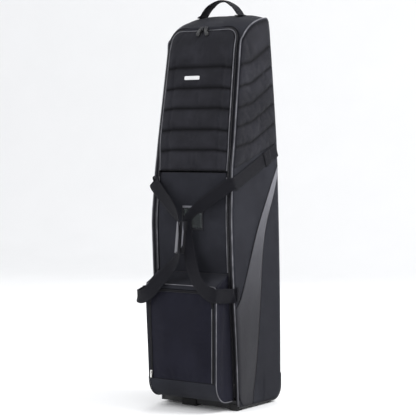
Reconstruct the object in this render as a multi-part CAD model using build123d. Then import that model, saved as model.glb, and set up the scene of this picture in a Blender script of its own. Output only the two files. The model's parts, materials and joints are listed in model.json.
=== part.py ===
from build123d import *
import math
import os

# A soft golf travel case that stands on two front feet and two rear wheels.
# +Z is up and the zipped front cover faces -Y. Left and right are as seen from the front, so
# right is +X.
# Every size is in millimetres.

# ---- driving dimensions ----
HALF_WIDTH = 164.0          # half the width of the body, up to the strap line
TOP_HALF_WIDTH = 152.0      # half the width at the shoulders
TAPER_FROM_Z = 900.0        # where the sides start to lean in
TOP_Z = 1346.0              # crown of the body
BASE_Z = 8.0                # underside of the moulded base
TRAY_Z = 34.0               # rim of the moulded base
SHOULDER_R = 42.0
WALL = 9.0                  # padded side walls and cover
CROWN_SKIN = 6.0

KNEE_Z = 805.0              # where the plain lower cover meets the quilted flap
FRONT_BASE_Y = -74.0        # lower cover at the rim of the base
KNEE_Y = -113.0             # the front stands furthest forward here
FRONT_TOP_Y = -40.0
FRONT_TOP_Z = 1298.0        # zip line across the top of the front

COVER_HALF = 144.0          # zipped cover, centre to zip
COVER_TOP_HALF = 133.0
COVER_CORNER_R = 40.0
ZIP_GAP = 0.5               # clearance round everything that moves
QUILT_OUT = 6.0             # how far the quilting stands out
PIPING_R = 2.0

POCKET_HALF = 141.0
POCKET_FRONT_Y = -174.0
POCKET_BOTTOM_Z = 45.0
POCKET_EDGE_Z = 421.0       # front top edge of the shoe pocket
POCKET_BACK_Z = 464.0       # where its top meets the cover
POCKET_TURN = 62.0          # how far back the pocket's rounded foot starts
POCKET_WALL = 3.0
DOOR_HALF = 128.0
DOOR_BOTTOM_Z = 100.0
DOOR_TOP_Z = 405.0
DOOR_CORNER_R = 52.0

FEET = ((-42.0, 29.0), (144.0, 16.0))     # middle and half width of each front foot
WHEEL_R = 40.0
WHEEL_WIDTH = 24.0
WHEEL_X = 140.0
WHEEL_Y = 139.0
HUB_R = 25.0
BEARING_R = 11.0
BEARING_WIDTH = 7.0
AXLE_R = 4.0
RUNNING_FIT = 0.05
HOUSING_X = 112.0           # inner wall of the wheel housings
HOUSING_Y = 86.0
HOUSING_Z = 98.0

WEBBING = 48.0              # width of the carry straps
WEBBING_T = 3.0
STRAP_TOP_Z = 765.0         # where the straps leave the front corners
STRAP_LOW_Z = 398.0
GRIP_TOP_Z = 652.0
GRIP_LOW_Z = 530.0
WRAP_WIDTH = 34.0
LEFT_GRIP = (-6.0, 62.0)    # where each strap's grip is, across and out from the lower cover
RIGHT_GRIP = (24.0, 42.0)
HANDLE_HALF = 75.0
HANDLE_BASE_Z = 1349.0
HANDLE_RISE = 49.0
HANDLE_Y = 60.0

FRONT_Y_OF = (KNEE_Y - FRONT_BASE_Y) / (KNEE_Z - TRAY_Z)
LOW_LEAN = math.atan2(FRONT_BASE_Y - KNEE_Y, KNEE_Z - TRAY_Z)
HIGH_LEAN = math.atan2(FRONT_TOP_Y - KNEE_Y, FRONT_TOP_Z - KNEE_Z)
LOW_LENGTH = math.hypot(FRONT_BASE_Y - KNEE_Y, KNEE_Z - TRAY_Z)
HIGH_LENGTH = math.hypot(FRONT_TOP_Y - KNEE_Y, FRONT_TOP_Z - KNEE_Z)

ZIP_TOP = HIGH_LENGTH - 6.0       # top edge of the quilted flap, up the UPPER plane
SLIDER_X = 9.0
SLIDER_LOW = 3.4                  # the sliders run just above the piping
MAIN_PULL = 34.0
POCKET_SLIDER_Z = 120.0
POCKET_SLIDER_LOW = 1.8
POCKET_PULL = 19.0                # hangs clear of the pocket's hinge line

# Local axes of the two flat stretches of the front: x across, y up the face, z outwards.
LOWER = Plane((0, FRONT_BASE_Y, TRAY_Z), x_dir=(1, 0, 0),
              z_dir=(0, -math.cos(LOW_LEAN), -math.sin(LOW_LEAN)))
UPPER = Plane((0, KNEE_Y, KNEE_Z), x_dir=(1, 0, 0),
              z_dir=(0, -math.cos(HIGH_LEAN), math.sin(HIGH_LEAN)))
POCKET = Plane((0, POCKET_FRONT_Y, 0), x_dir=(1, 0, 0), z_dir=(0, -1, 0))


def front_y(z):
    """Where the lower cover's face is at height z."""
    return FRONT_BASE_Y + FRONT_Y_OF * (z - TRAY_Z)


def across(face, half=300.0):
    """A prism from an outline in Y and Z, run across the case."""
    return extrude(Plane.YZ * face, amount=half, both=True)


def through(face, half=300.0):
    """A prism from an outline in X and Z, run from front to back."""
    return extrude(Plane.XZ * face, amount=half, both=True)


def slab(plane, face, low, high):
    """A face on a plane, thickened from low to high along the plane's normal."""
    return extrude(plane.offset(low) * face, amount=high - low)


def block(low, high):
    """A box from its lowest to its highest corner."""
    size = [b - a for a, b in zip(low, high)]
    middle = [(a + b) / 2 for a, b in zip(low, high)]
    return Pos(*middle) * Box(*size)


def rod(start, end, radius):
    """A round bar between two points."""
    line = Vector(*end) - Vector(*start)
    return extrude(Plane(start, z_dir=line) * Circle(radius), amount=line.length)


def mirrored(shape):
    return mirror(shape, about=Plane.YZ)


# ---- outlines ----
def side_outline():
    """The body seen from its side, in Y and Z."""
    low_front = (front_y(BASE_Z), BASE_Z)
    knee = (KNEE_Y, KNEE_Z)
    high_front = (FRONT_TOP_Y, FRONT_TOP_Z)
    edges = [
        Line(low_front, knee),
        Line(knee, high_front),
        ThreePointArc(high_front, (22, 1327), (105, 1344)),
        ThreePointArc((105, 1344), (122, 1335), (129, 1316)),
        ThreePointArc((129, 1316), (173, 700), (189, 56)),
        ThreePointArc((189, 56), (174.94, 22.06), (141, BASE_Z)),
        Line((141, BASE_Z), low_front),
    ]
    return make_face(Curve() + edges)


def front_outline():
    """The body seen from the front, in X and Z."""
    right = [(HALF_WIDTH, BASE_Z), (HALF_WIDTH, TAPER_FROM_Z), (TOP_HALF_WIDTH, TOP_Z)]
    left = [(-x, z) for x, z in reversed(right)]
    face = make_face(Polyline(*right, *left, close=True))
    shoulders = face.vertices().sort_by(Axis.Y)[-2:]
    return fillet(shoulders, SHOULDER_R)


SIDE = side_outline()
FRONT = front_outline()
BODY = across(SIDE) & through(FRONT)
ROOM_FRONT = through(offset(FRONT, -WALL))
ROOM = across(offset(SIDE, -WALL)) & ROOM_FRONT
CROWN_CUT = across(make_face(Polyline(
    (-200, FRONT_TOP_Z - 8), (FRONT_TOP_Y, FRONT_TOP_Z), (140, 1300), (300, 1300),
    (300, 1500), (-200, 1500), close=True)))
TRAY_CUT = block((-300, -300, -50), (300, 300, TRAY_Z))
HOUSING_BLOCKS = block((HOUSING_X, HOUSING_Y, 0), (300, 300, HOUSING_Z))
HOUSING_BLOCKS += mirrored(HOUSING_BLOCKS)


def cover_outline(grow=0.0):
    """The quilted flap on the UPPER plane, with its rounded top corners."""
    half, top_half, top = COVER_HALF + grow, COVER_TOP_HALF + grow, ZIP_TOP + grow
    face = make_face(Polyline((half, 1.5 - 3 * grow), (top_half, top), (-top_half, top),
                              (-half, 1.5 - 3 * grow), close=True))
    return fillet(face.vertices().sort_by(Axis.Y)[-2:], COVER_CORNER_R + grow)


def panel_outline(grow=0.0):
    """The lower cover on the LOWER plane."""
    half = COVER_HALF + grow
    low = 2.0 - grow
    return Pos(0, (low + LOW_LENGTH - 1.5 + 3 * grow) / 2) * Rectangle(
        2 * half, LOW_LENGTH - 1.5 + 3 * grow - low)


# ---- the body shell ----
def shell_parts():
    skin = BODY - ROOM
    low_skin = skin - CROWN_CUT - TRAY_CUT - HOUSING_BLOCKS
    sides = low_skin - ROOM_FRONT
    half_space = block((0, -400, -100), (400, 400, 1500))
    middle = low_skin & ROOM_FRONT
    rear = block((-300, 60, 0), (300, 300, 1500))
    front = middle - rear
    opening = slab(LOWER, panel_outline(ZIP_GAP), -30, 30)
    opening += slab(UPPER, cover_outline(ZIP_GAP), -30, 30)
    crown = BODY & CROWN_CUT
    foam_room = across(offset(SIDE, -CROWN_SKIN)) & through(offset(FRONT, -CROWN_SKIN))
    stiff = across(offset(SIDE, -WALL)) - across(offset(SIDE, -WALL - 3))
    return {
        "side_panel_right": sides & half_space,
        "side_panel_left": sides - half_space,
        "back_panel": middle & rear,
        "zip_surround": front - opening,
        "top_cap": crown - foam_room,
        "crown_foam": crown & foam_room,
        "back_stiffener": stiff & block((-118, 60, 110), (118, 300, 1235)),
    }


def side_layer(region, out, start=0.0):
    """A layer on the case's +X side, over an outline in Y and Z."""
    layer = through(offset(FRONT, out)) - through(offset(FRONT, start))
    return layer & across(region) & block((100, -400, 0), (400, 400, 1400))


def side_quilt():
    """Padded upper side: its lower edge runs along the top of the carry strap."""
    region = make_face(Polyline((-92, 822), (-12, 848), (156, 922), (133, 1236), (110, 1262),
                                (-40, 1236), close=True))
    return side_layer(region, 5.0)


def side_accent():
    """Contrast wedge: a point at the rear seam that widens down to the base."""
    front_edge = [Line((168, 826), (-52, 392)), Line((-52, 392), (-66, 180)),
                  ThreePointArc((-66, 180), (-52, 82), (-12, 36))]
    rear_edge = [Line((-12, 36), (20, 36)), Spline([(20, 36), (60, 280), (98, 600), (168, 800)]),
                 Line((168, 800), (168, 826))]
    return side_layer(make_face(Curve() + front_edge + rear_edge), 1.5)


def side_webbing():
    """Carry strap run sewn on the side, from the front corner up to the rear seam."""
    low, high = (-104, STRAP_TOP_Z), (160, 884)
    tilt = math.atan2(high[1] - low[1], high[0] - low[0])
    rise = WEBBING / 2 / math.cos(tilt)
    band = make_face(Polyline((low[0], low[1] - rise), (high[0], high[1] - rise),
                              (high[0], high[1] + rise), (low[0], low[1] + rise), close=True))
    run = side_layer(band, WEBBING_T)
    patch_at = Pos(92, 853) * Rot(0, 0, math.degrees(tilt)) * Rectangle(44, WEBBING + 6)
    patch = side_layer(patch_at, WEBBING_T + 2, WEBBING_T)
    low_at = Pos(-72, STRAP_LOW_Z) * Rectangle(36, WEBBING)
    return run, patch, side_layer(low_at, WEBBING_T, 1.5)


# ---- the base and wheels ----
def base_parts():
    tray = (BODY & TRAY_CUT) - HOUSING_BLOCKS
    inside = across(offset(SIDE, -5)) & through(offset(FRONT, -5))
    tray -= inside & block((-300, -300, BASE_Z + 5), (300, 300, 60))
    board = inside & block((-300, -300, BASE_Z + 5), (300, 300, BASE_Z + 8))
    board = (board - HOUSING_BLOCKS) & (across(offset(SIDE, -5.5)) & through(offset(FRONT, -5.5)))
    feet, screws = [], []
    for x, half in FEET:
        foot = block((x - half, -79, 0), (x + half, -46, BASE_Z))
        lip = block((x - half, -79, BASE_Z), (x + half, -74.2, 22))
        foot += lip
        foot = fillet(foot.edges().filter_by(Axis.X).group_by(Axis.Z)[0], 3)
        for side in (-1, 1):
            at = x + side * (half - 8)
            hole = rod((at, -60, 0), (at, -60, BASE_Z), 2.6)
            recess = rod((at, -60, 0), (at, -60, 3.4), 4.8)
            foot -= hole + recess
            tray -= rod((at, -60, BASE_Z), (at, -60, BASE_Z + 5), 2.6)
            screws.append(rod((at, -60, 0.6), (at, -60, 3.2), 4.5)
                          + rod((at, -60, 3.2), (at, -60, BASE_Z + 5), 2.5))
        feet.append(foot)
    return tray, board, feet, screws


def housing():
    """Moulded corner with a wheel well that is open below and behind."""
    body = BODY & HOUSING_BLOCKS & block((0, -400, 0), (400, 400, 400))
    well_half = WHEEL_WIDTH / 2 + 3
    well_r = WHEEL_R + 4
    well = rod((WHEEL_X - well_half, WHEEL_Y, WHEEL_R), (WHEEL_X + well_half, WHEEL_Y, WHEEL_R), well_r)
    well += block((WHEEL_X - well_half, WHEEL_Y - well_r, -10),
                  (WHEEL_X + well_half, WHEEL_Y + well_r, WHEEL_R))
    axle_hole = rod((HOUSING_X - 1, WHEEL_Y, WHEEL_R), (HALF_WIDTH + 1, WHEEL_Y, WHEEL_R), AXLE_R)
    head_at = HALF_WIDTH - 3
    recess = rod((head_at, WHEEL_Y, WHEEL_R), (HALF_WIDTH + 1, WHEEL_Y, WHEEL_R), 8)
    return body - well - axle_hole - recess


def axle():
    head_at = HALF_WIDTH - 3
    shaft = rod((HOUSING_X, WHEEL_Y, WHEEL_R), (head_at, WHEEL_Y, WHEEL_R), AXLE_R)
    head = rod((head_at, WHEEL_Y, WHEEL_R), (HALF_WIDTH, WHEEL_Y, WHEEL_R), 7.5)
    return shaft + head


def ring(x_low, x_high, outer, inner):
    start, end = (x_low, WHEEL_Y, WHEEL_R), (x_high, WHEEL_Y, WHEEL_R)
    return rod(start, end, outer) - rod(start, end, inner)


def wheel():
    half = WHEEL_WIDTH / 2
    low, high = WHEEL_X - half, WHEEL_X + half
    tyre = ring(low, high, WHEEL_R, HUB_R)
    tyre = fillet(tyre.edges().filter_by(GeomType.CIRCLE).sort_by(SortBy.RADIUS)[-2:], 8)
    hub = ring(low, high, HUB_R, 7.0)
    seats = ring(low, low + BEARING_WIDTH, BEARING_R, 5.0)
    seats += ring(high - BEARING_WIDTH, high, BEARING_R, 5.0)
    hub -= seats
    bore = AXLE_R + RUNNING_FIT
    bearings = [ring(low, low + BEARING_WIDTH, BEARING_R, bore),
                ring(high - BEARING_WIDTH, high, BEARING_R, bore)]
    return tyre, hub, bearings


# ---- the zipped front ----
def frame_strip(plane, face, width, low, high):
    """A band just inside the edge of an outline."""
    return slab(plane, face - offset(face, -width), low, high)


def piping(plane, points, radii, out):
    """Round trim along a bent line on a plane, its middle standing out from the plane."""
    bend = FilletPolyline(*points, radius=radii) if radii else Polyline(*points)
    path = plane.offset(out) * bend
    start = path @ 0
    return sweep(Plane(start, z_dir=path % 0) * Circle(PIPING_R), path=path)


def cover_parts():
    panel, flap = panel_outline(), cover_outline()
    low_cut = slab(LOWER, Pos(0, 3) * Rectangle(600, 14), -9, 9)
    knee_cut = slab(LOWER, Pos(0, LOW_LENGTH) * Rectangle(600, 18), -9, 9)
    flap_cut = slab(UPPER, Rectangle(600, 18), -9, 9)
    inset = 5.2
    half, top_half = COVER_HALF - inset, COVER_TOP_HALF - inset
    upper_line = [(-half, 12), (-top_half, ZIP_TOP - inset),
                  (top_half, ZIP_TOP - inset), (half, 12)]
    upper_trim = piping(UPPER, upper_line, COVER_CORNER_R - inset, PIPING_R - 1)
    above_pocket = (POCKET_BACK_Z - TRAY_Z) / math.cos(LOW_LEAN) + 6
    lower_trim = [piping(LOWER, [(x, above_pocket), (x, LOW_LENGTH - 12)], 0, PIPING_R - 1)
                  for x in (-half, half)]
    return {
        "front_panel": slab(LOWER, offset(panel, -0.5), -WALL + 1, 0)
        - frame_strip(LOWER, panel, 8, -4, 1),
        "quilted_flap": slab(UPPER, offset(flap, -8), -WALL + 1, QUILT_OUT),
        "cover_zip_lower": frame_strip(LOWER, panel, 7.5, -3.8, -1) - low_cut - knee_cut,
        "cover_zip_upper": frame_strip(UPPER, flap, 7.5, -3.8, -1) - flap_cut,
        "cover_piping_lower": Compound(children=lower_trim),
        "cover_piping_upper": upper_trim,
    }


def corner_piping():
    """Trim down both front corners of the body."""
    trims = []
    for side in (-1, 1):
        trims.append(piping(LOWER, [(side * 158, 24), (side * 158, LOW_LENGTH - 4)], 0, PIPING_R))
        trims.append(piping(UPPER, [(side * 158, 6), (side * 147, HIGH_LENGTH - 22)], 0, PIPING_R))
    return trims


def id_window():
    centre = Pos(0, 650 - TRAY_Z)
    frame = centre * (RectangleRounded(88, 82, 5) - RectangleRounded(72, 62, 3))
    return (slab(LOWER, frame, 0.1, 1.8), slab(LOWER, centre * RectangleRounded(72, 62, 3), 0.9, 1.4),
            slab(LOWER, centre * Rectangle(70, 60), 0.1, 0.8))


def blank_label():
    return slab(UPPER, Pos(-22, 322) * RectangleRounded(62, 13, 4), QUILT_OUT, QUILT_OUT + 1.2)


# ---- shoe pocket ----
def pocket_parts():
    back_low = front_y(POCKET_BOTTOM_Z) - 0.3
    back_high = front_y(POCKET_BACK_Z) - 0.3
    front, round_y = POCKET_FRONT_Y, POCKET_FRONT_Y + POCKET_TURN
    round_z = DOOR_BOTTOM_Z - 3
    profile = make_face(Curve() + [
        Line((back_low, POCKET_BOTTOM_Z), (round_y, POCKET_BOTTOM_Z)),
        ThreePointArc((round_y, POCKET_BOTTOM_Z), (front + 18, POCKET_BOTTOM_Z + 15),
                      (front, round_z)),
        Line((front, round_z), (front, POCKET_EDGE_Z)),
        Line((front, POCKET_EDGE_Z), (back_high, POCKET_BACK_Z)),
        Line((back_high, POCKET_BACK_Z), (back_low, POCKET_BOTTOM_Z)),
    ])
    tall = POCKET_BACK_Z - POCKET_BOTTOM_Z
    face = Pos(0, POCKET_BOTTOM_Z + tall / 2) * Rectangle(2 * POCKET_HALF, tall)
    box = across(profile) & through(face)
    room = across(offset(profile, -POCKET_WALL)) & through(offset(face, -POCKET_WALL))
    behind = Pos(0, 12, 0) * room
    door = door_outline()
    opening = slab(POCKET, offset(door, ZIP_GAP), -POCKET_WALL - 2, 2)
    gusset = box - room - behind - opening
    ring = offset(door, ZIP_GAP + 4) - offset(door, ZIP_GAP)
    open_end = slab(POCKET, Pos(0, DOOR_BOTTOM_Z) * Rectangle(600, 16), -9, 9)
    return {
        "pocket_gusset": gusset,
        "pocket_zip_body": slab(POCKET, ring, 0, 1.4) - open_end,
        "pocket_door": slab(POCKET, door, -POCKET_WALL + 0.5, -0.1),
        "pocket_zip_door": frame_strip(POCKET, door, 4, 0, 1.4) - open_end,
        "pocket_edge_trim": rod((-POCKET_HALF, front - 0.2, POCKET_EDGE_Z + 3),
                                (POCKET_HALF, front - 0.2, POCKET_EDGE_Z + 3), PIPING_R),
    }


def door_outline():
    tall = DOOR_TOP_Z - DOOR_BOTTOM_Z
    face = Pos(0, DOOR_BOTTOM_Z + tall / 2) * Rectangle(2 * DOOR_HALF, tall)
    return fillet(face.vertices().sort_by(Axis.Y)[-2:], DOOR_CORNER_R)


# ---- zip sliders and pulls ----
def slider(plane, x, y, low):
    """A slider body with the bridge that its pull hangs from."""
    body = slab(plane, Pos(x, y) * RectangleRounded(9, 14, 2.5), low, low + 4)
    bridge = slab(plane, Pos(x, y) * Rectangle(3, 8), low + 4, low + 7.6)
    return body + bridge - slab(plane, Pos(x, y) * Rectangle(9, 5), low + 4, low + 6.4)


def pull(plane, x, y, low, length):
    """A flat tab whose slot goes round the lower leg of the slider's bridge."""
    tab = slab(plane, Pos(x, y + 0.8 - length / 2) * RectangleRounded(7, length, 0.7),
               low + 4.6, low + 5.8)
    return tab - slab(plane, Pos(x, y - 3.1) * Rectangle(3.6, 4.6), low, low + 9)


# ---- carry straps ----
def ribbon(points, thickness):
    """A bent strip of even thickness, seen edge on."""
    strip = Pos(*points[0]) * Circle(thickness / 2)
    for start, end in zip(points, points[1:]):
        run = Vector(*end) - Vector(*start)
        turn = math.degrees(math.atan2(run.Y, run.X))
        middle = (Vector(*start) + Vector(*end)) / 2
        strip += Pos(middle.X, middle.Y) * Rot(0, 0, turn) * Rectangle(run.length, thickness)
        strip += Pos(*end) * Circle(thickness / 2)
    return strip


def bent_webbing(side, points, outline):
    """Webbing that follows a plan of (across, out) points, trimmed to a front outline."""
    plan = Plane(LOWER.origin, x_dir=(1, 0, 0), z_dir=LOWER.y_dir)
    strip = ribbon([(side * x, -out) for x, out in points], WEBBING_T)
    tall = extrude(plan * strip, amount=LOW_LENGTH)
    return tall & slab(LOWER, outline, -20, 120)


def carry_loop(side, inner_x, out):
    """Webbing from the upper corner to the grip, and round the pocket to the lower corner."""
    top, low = STRAP_TOP_Z - TRAY_Z, STRAP_LOW_Z - TRAY_Z
    grip_top, grip_low = GRIP_TOP_Z - TRAY_Z, GRIP_LOW_Z - TRAY_Z
    half, slim, edge = WEBBING / 2, 13.0, HALF_WIDTH + 5
    grip = side * inner_x
    corner = (HALF_WIDTH + 2, 6.5)
    at_grip = [(grip + slim + 3, out), (grip - slim - 1, out)]
    round_pocket = [(POCKET_HALF + 5, 45), (POCKET_HALF + 4, 89), (96, 92)]
    upper = make_face(Polyline(*[(side * x, y) for x, y in (
        (edge, top + half + 4), (grip + slim, grip_top + 30), (grip - slim, grip_top),
        (grip - slim, grip_low), (grip + slim, grip_low), (grip + slim, grip_top - 16),
        (edge, top - half - 4))], close=True))
    lower = make_face(Polyline(*[(side * x, y) for x, y in (
        (grip + slim, grip_low), (grip - slim, grip_low), (grip - slim, grip_low - 6),
        (grip + slim, grip_low - 40), (96, low + 32), (140, low - half), (edge, low - half),
        (edge, low + half), (148, low + half), (grip + slim, grip_low - 2))], close=True))
    return (bent_webbing(side, [corner, *at_grip], upper)
            + bent_webbing(side, [corner, *round_pocket, *at_grip], lower))


def grip_wrap(inner_x, out):
    """Padded wrap in two halves, open along one edge."""
    middle = (GRIP_TOP_Z + GRIP_LOW_Z) / 2 - TRAY_Z
    face = Pos(inner_x, middle) * RectangleRounded(WRAP_WIDTH, 106, 5)
    return slab(LOWER, face, out + 2, out + 8), slab(LOWER, face, out - 8, out - 2)


def strap_loop():
    """Folded webbing end that stands out from the side at the lower anchor."""
    low, high = STRAP_LOW_Z - WEBBING / 2, STRAP_LOW_Z + WEBBING / 2
    inner_x = HALF_WIDTH + 4.7
    centre = Pos(inner_x + 10.5, front_y(STRAP_LOW_Z) + 22, low)
    ring_face = RectangleRounded(21, 32, 8) - RectangleRounded(15, 26, 5)
    return extrude(centre * ring_face, amount=high - low)


# ---- top handle ----
def top_handle():
    """Grab handle, and the two sewn patches that hold it."""
    half, peak = HANDLE_HALF, HANDLE_RISE
    outer = [(-half - 8, 0.5), (-half + 14, 32), (-16, peak), (16, peak), (half - 14, 32), (half + 8, 0.5)]
    inner = [(half - 8, 0.5), (half - 25, 20), (12, peak - 13), (-12, peak - 13), (25 - half, 20), (8 - half, 0.5)]
    face = Pos(0, HANDLE_BASE_Z) * make_face(Polyline(*outer, *inner, close=True))
    handle = Pos(0, HANDLE_Y, 0) * extrude(Plane.XZ * face, amount=7, both=True)
    over = across(offset(SIDE, 3)) - across(SIDE)
    patches = []
    for x in (-HANDLE_HALF, HANDLE_HALF):
        patches.append(over & block((x - 18, HANDLE_Y - 20, 1300), (x + 18, HANDLE_Y + 20, 1400)))
    return handle, patches


# ---- inside: one compression strap ----
def inner_strap():
    z, y, half = 620.0, -20.0, 19.0
    wall = HALF_WIDTH - WALL
    left = block((-wall, y - 1, z - half), (-22, y + 1, z + half))
    right = block((24, y - 1, z - half), (wall, y + 1, z + half))
    female = block((-22, y - 7, z - 24), (6, y + 7, z + 24))
    female -= block((-16, y - 4, z - 20), (7, y + 4, z + 20))
    male = block((8, y - 6, z - 24), (24, y + 6, z + 24))
    for side in (-1, 1):
        male += block((-12, y - 3, z + side * 14 - 4), (8, y + 3, z + side * 14 + 4))
    return left, right, female, male


# ---- write every piece ----
def save(name, solids):
    if isinstance(solids, (list, tuple)):
        solids = Compound(children=list(solids))
    export_step(solids, f"parts/{name}.step")


def main():
    os.makedirs("parts", exist_ok=True)
    for name, shape in {**shell_parts(), **cover_parts(), **pocket_parts()}.items():
        save(name, shape)

    quilt, accent = side_quilt(), side_accent()
    save("side_quilt_right", quilt)
    save("side_quilt_left", mirrored(quilt))
    save("side_accent_right", accent)
    save("side_accent_left", mirrored(accent))
    save("corner_piping", corner_piping())
    run, patch, low_patch = side_webbing()
    save("side_webbing_right", run)
    save("side_webbing_left", mirrored(run))
    handle, handle_patches = top_handle()
    save("top_handle", handle)
    save("sewn_patches", [patch, mirrored(patch), low_patch, mirrored(low_patch), *handle_patches])
    save("strap_loops", [strap_loop(), mirrored(strap_loop())])

    tray, board, feet, screws = base_parts()
    save("base_tray", tray)
    save("base_board", board)
    save("front_feet", feet)
    save("foot_screws", screws)
    tyre, hub, bearings = wheel()
    for side, turn in (("right", lambda s: s), ("left", mirrored)):
        save(f"wheel_housing_{side}", turn(housing()))
        save(f"axle_{side}", turn(axle()))
        save(f"tyre_{side}", turn(tyre))
        save(f"hub_{side}", turn(hub))
        save(f"bearings_{side}", [turn(b) for b in bearings])

    frame, window, card = id_window()
    save("id_frame", frame)
    save("id_window", window)
    save("id_card", card)
    save("blank_label", blank_label())

    for side, x in (("right", SLIDER_X), ("left", -SLIDER_X)):
        save(f"zip_slider_{side}", slider(UPPER, x, ZIP_TOP, SLIDER_LOW))
        save(f"zip_pull_{side}", pull(UPPER, x, ZIP_TOP, SLIDER_LOW, MAIN_PULL))
    pocket_x = -DOOR_HALF - ZIP_GAP / 2
    save("pocket_slider", slider(POCKET, pocket_x, POCKET_SLIDER_Z, POCKET_SLIDER_LOW))
    save("pocket_pull", pull(POCKET, pocket_x, POCKET_SLIDER_Z, POCKET_SLIDER_LOW, POCKET_PULL))

    save("carry_loop_left", carry_loop(-1, *LEFT_GRIP))
    save("carry_loop_right", carry_loop(1, *RIGHT_GRIP))
    wrap_front, wrap_back = grip_wrap(*LEFT_GRIP)
    save("grip_wrap", wrap_back)
    save("grip_flap", wrap_front)

    left, right, female, male = inner_strap()
    save("inner_webbing_left", left)
    save("inner_webbing_right", right)
    save("buckle_female", female)
    save("buckle_male", male)


if __name__ == "__main__":
    main()
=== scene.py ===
# %% [markdown]
# # A soft golf travel case
# The case is a tall padded bag: cloth over foam, a zipped front with a quilted flap, a shoe
# pocket, webbing to carry it by, and a moulded base with two wheels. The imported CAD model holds
# its sizes and its joints. This lesson gives each part the surface that it has on a shelf.

# %% Load the frame
import json
import math

import bmesh
import bpy
import numpy as np
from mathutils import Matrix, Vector, noise
from mathutils.bvhtree import BVHTree


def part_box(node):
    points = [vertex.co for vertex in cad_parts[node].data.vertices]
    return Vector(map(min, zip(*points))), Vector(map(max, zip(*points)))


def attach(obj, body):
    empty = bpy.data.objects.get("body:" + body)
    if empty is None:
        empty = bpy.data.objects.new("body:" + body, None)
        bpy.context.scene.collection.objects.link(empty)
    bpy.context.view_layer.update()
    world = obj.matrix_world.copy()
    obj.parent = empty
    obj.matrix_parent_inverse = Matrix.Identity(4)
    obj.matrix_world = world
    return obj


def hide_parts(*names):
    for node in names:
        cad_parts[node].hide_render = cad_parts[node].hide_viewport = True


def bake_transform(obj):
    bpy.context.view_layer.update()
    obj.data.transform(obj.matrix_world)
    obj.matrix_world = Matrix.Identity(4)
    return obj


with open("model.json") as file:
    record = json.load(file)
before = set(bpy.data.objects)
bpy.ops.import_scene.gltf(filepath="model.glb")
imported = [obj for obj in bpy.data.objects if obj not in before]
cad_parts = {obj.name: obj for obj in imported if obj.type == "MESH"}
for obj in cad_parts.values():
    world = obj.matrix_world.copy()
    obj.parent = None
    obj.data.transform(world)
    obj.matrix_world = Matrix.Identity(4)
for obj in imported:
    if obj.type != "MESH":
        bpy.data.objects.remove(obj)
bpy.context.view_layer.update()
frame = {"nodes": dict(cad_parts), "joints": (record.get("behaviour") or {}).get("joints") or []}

MM = 0.001
scene = bpy.context.scene

# %% [markdown]
# ## Measure the body
# Cloth has to lie where the CAD says, so its outline is measured and not typed in again. Rays
# shot at the body's plain panels tell where its front, back, sides and top are at any height.
# Each outline is kept as a table that numpy can look up, which is quicker than a ray a point.

# %% Rays against the CAD body
def skin_of(names):
    verts, faces = [], []
    for name in names:
        mesh = frame["nodes"][name].data
        start = len(verts)
        verts += [v.co.copy() for v in mesh.vertices]
        faces += [[start + i for i in p.vertices] for p in mesh.polygons]
    return BVHTree.FromPolygons(verts, faces)


SKIN = skin_of(["side_panel_left", "side_panel_right", "back_panel", "top_cap", "zip_surround",
                "base_tray", "wheel_housing_left", "wheel_housing_right"])


def hit(start, direction):
    found = SKIN.ray_cast(Vector(start), Vector(direction))[0]
    return found if found is not None else Vector(start)


def straight(a, b, z):
    """The line through two (z, value) pairs, at z."""
    return a[1] + (b[1] - a[1]) * (z - a[0]) / (b[0] - a[0])


EDGE_X = 150 * MM                                   # on the strip beside the zipped cover
LOW_PAIR = [(z, hit((EDGE_X, -1, z), (0, 1, 0)).y) for z in (0.12, 0.70)]
HIGH_PAIR = [(z, hit((EDGE_X, -1, z), (0, 1, 0)).y) for z in (0.90, 1.20)]
WIDE = hit((1, 0.05, 0.60), (-1, 0, 0)).x
SIDE_PAIR = [(z, hit((1, 0.05, z), (-1, 0, 0)).x) for z in (1.00, 1.26)]
BACK_Z = np.linspace(0.010, 1.30, 90)
BACK_Y = np.array([hit((0, 1, z), (0, -1, 0)).y for z in BACK_Z])
TOP_Y = np.linspace(-0.038, 0.124, 40)
TOP_Z = np.array([hit((0, y, 2), (0, 0, -1)).z for y in TOP_Y])
KNEE_Z = frame["joints"][1]["pos_m"][2]
CROWN = float(TOP_Z.max())
ROUNDING = 5 * MM                                   # how softly the front turns at the knee
BOW = 9 * MM                                        # how far the stuffed lower front bows out


def ramp01(value, low, high):
    """0 below low, 1 above high, smooth between."""
    t = np.clip((np.asarray(value) - low) / (high - low), 0, 1)
    return t * t * (3 - 2 * t)


def front_y(z):
    low = straight(*LOW_PAIR, z)
    high = straight(*HIGH_PAIR, z)
    plane = (low + high + np.sqrt((low - high) ** 2 + ROUNDING ** 2)) / 2
    return plane - BOW * ramp01(z, 0.12, 0.50) * (1 - ramp01(z, 0.62, 0.79))


def back_y(z):
    return np.interp(z, BACK_Z, BACK_Y)


def top_z(y):
    return np.interp(y, TOP_Y, TOP_Z)


def half_width(z):
    return np.minimum(WIDE, straight(*SIDE_PAIR, z))


FRONT_TOP_Z = float(TOP_Z[0])
print("half width", round(WIDE, 4), "knee", KNEE_Z, "crown", round(CROWN, 4))

# %% [markdown]
# ## Small mesh tools
# Nearly every cloth piece here is a sheet with thickness: a grid of points on its outer face, the
# same grid moved inwards, and a rim that joins them. Trim is a round tube along a line and
# webbing is a flat strip along a line. Three builders therefore make most of the case.

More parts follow.
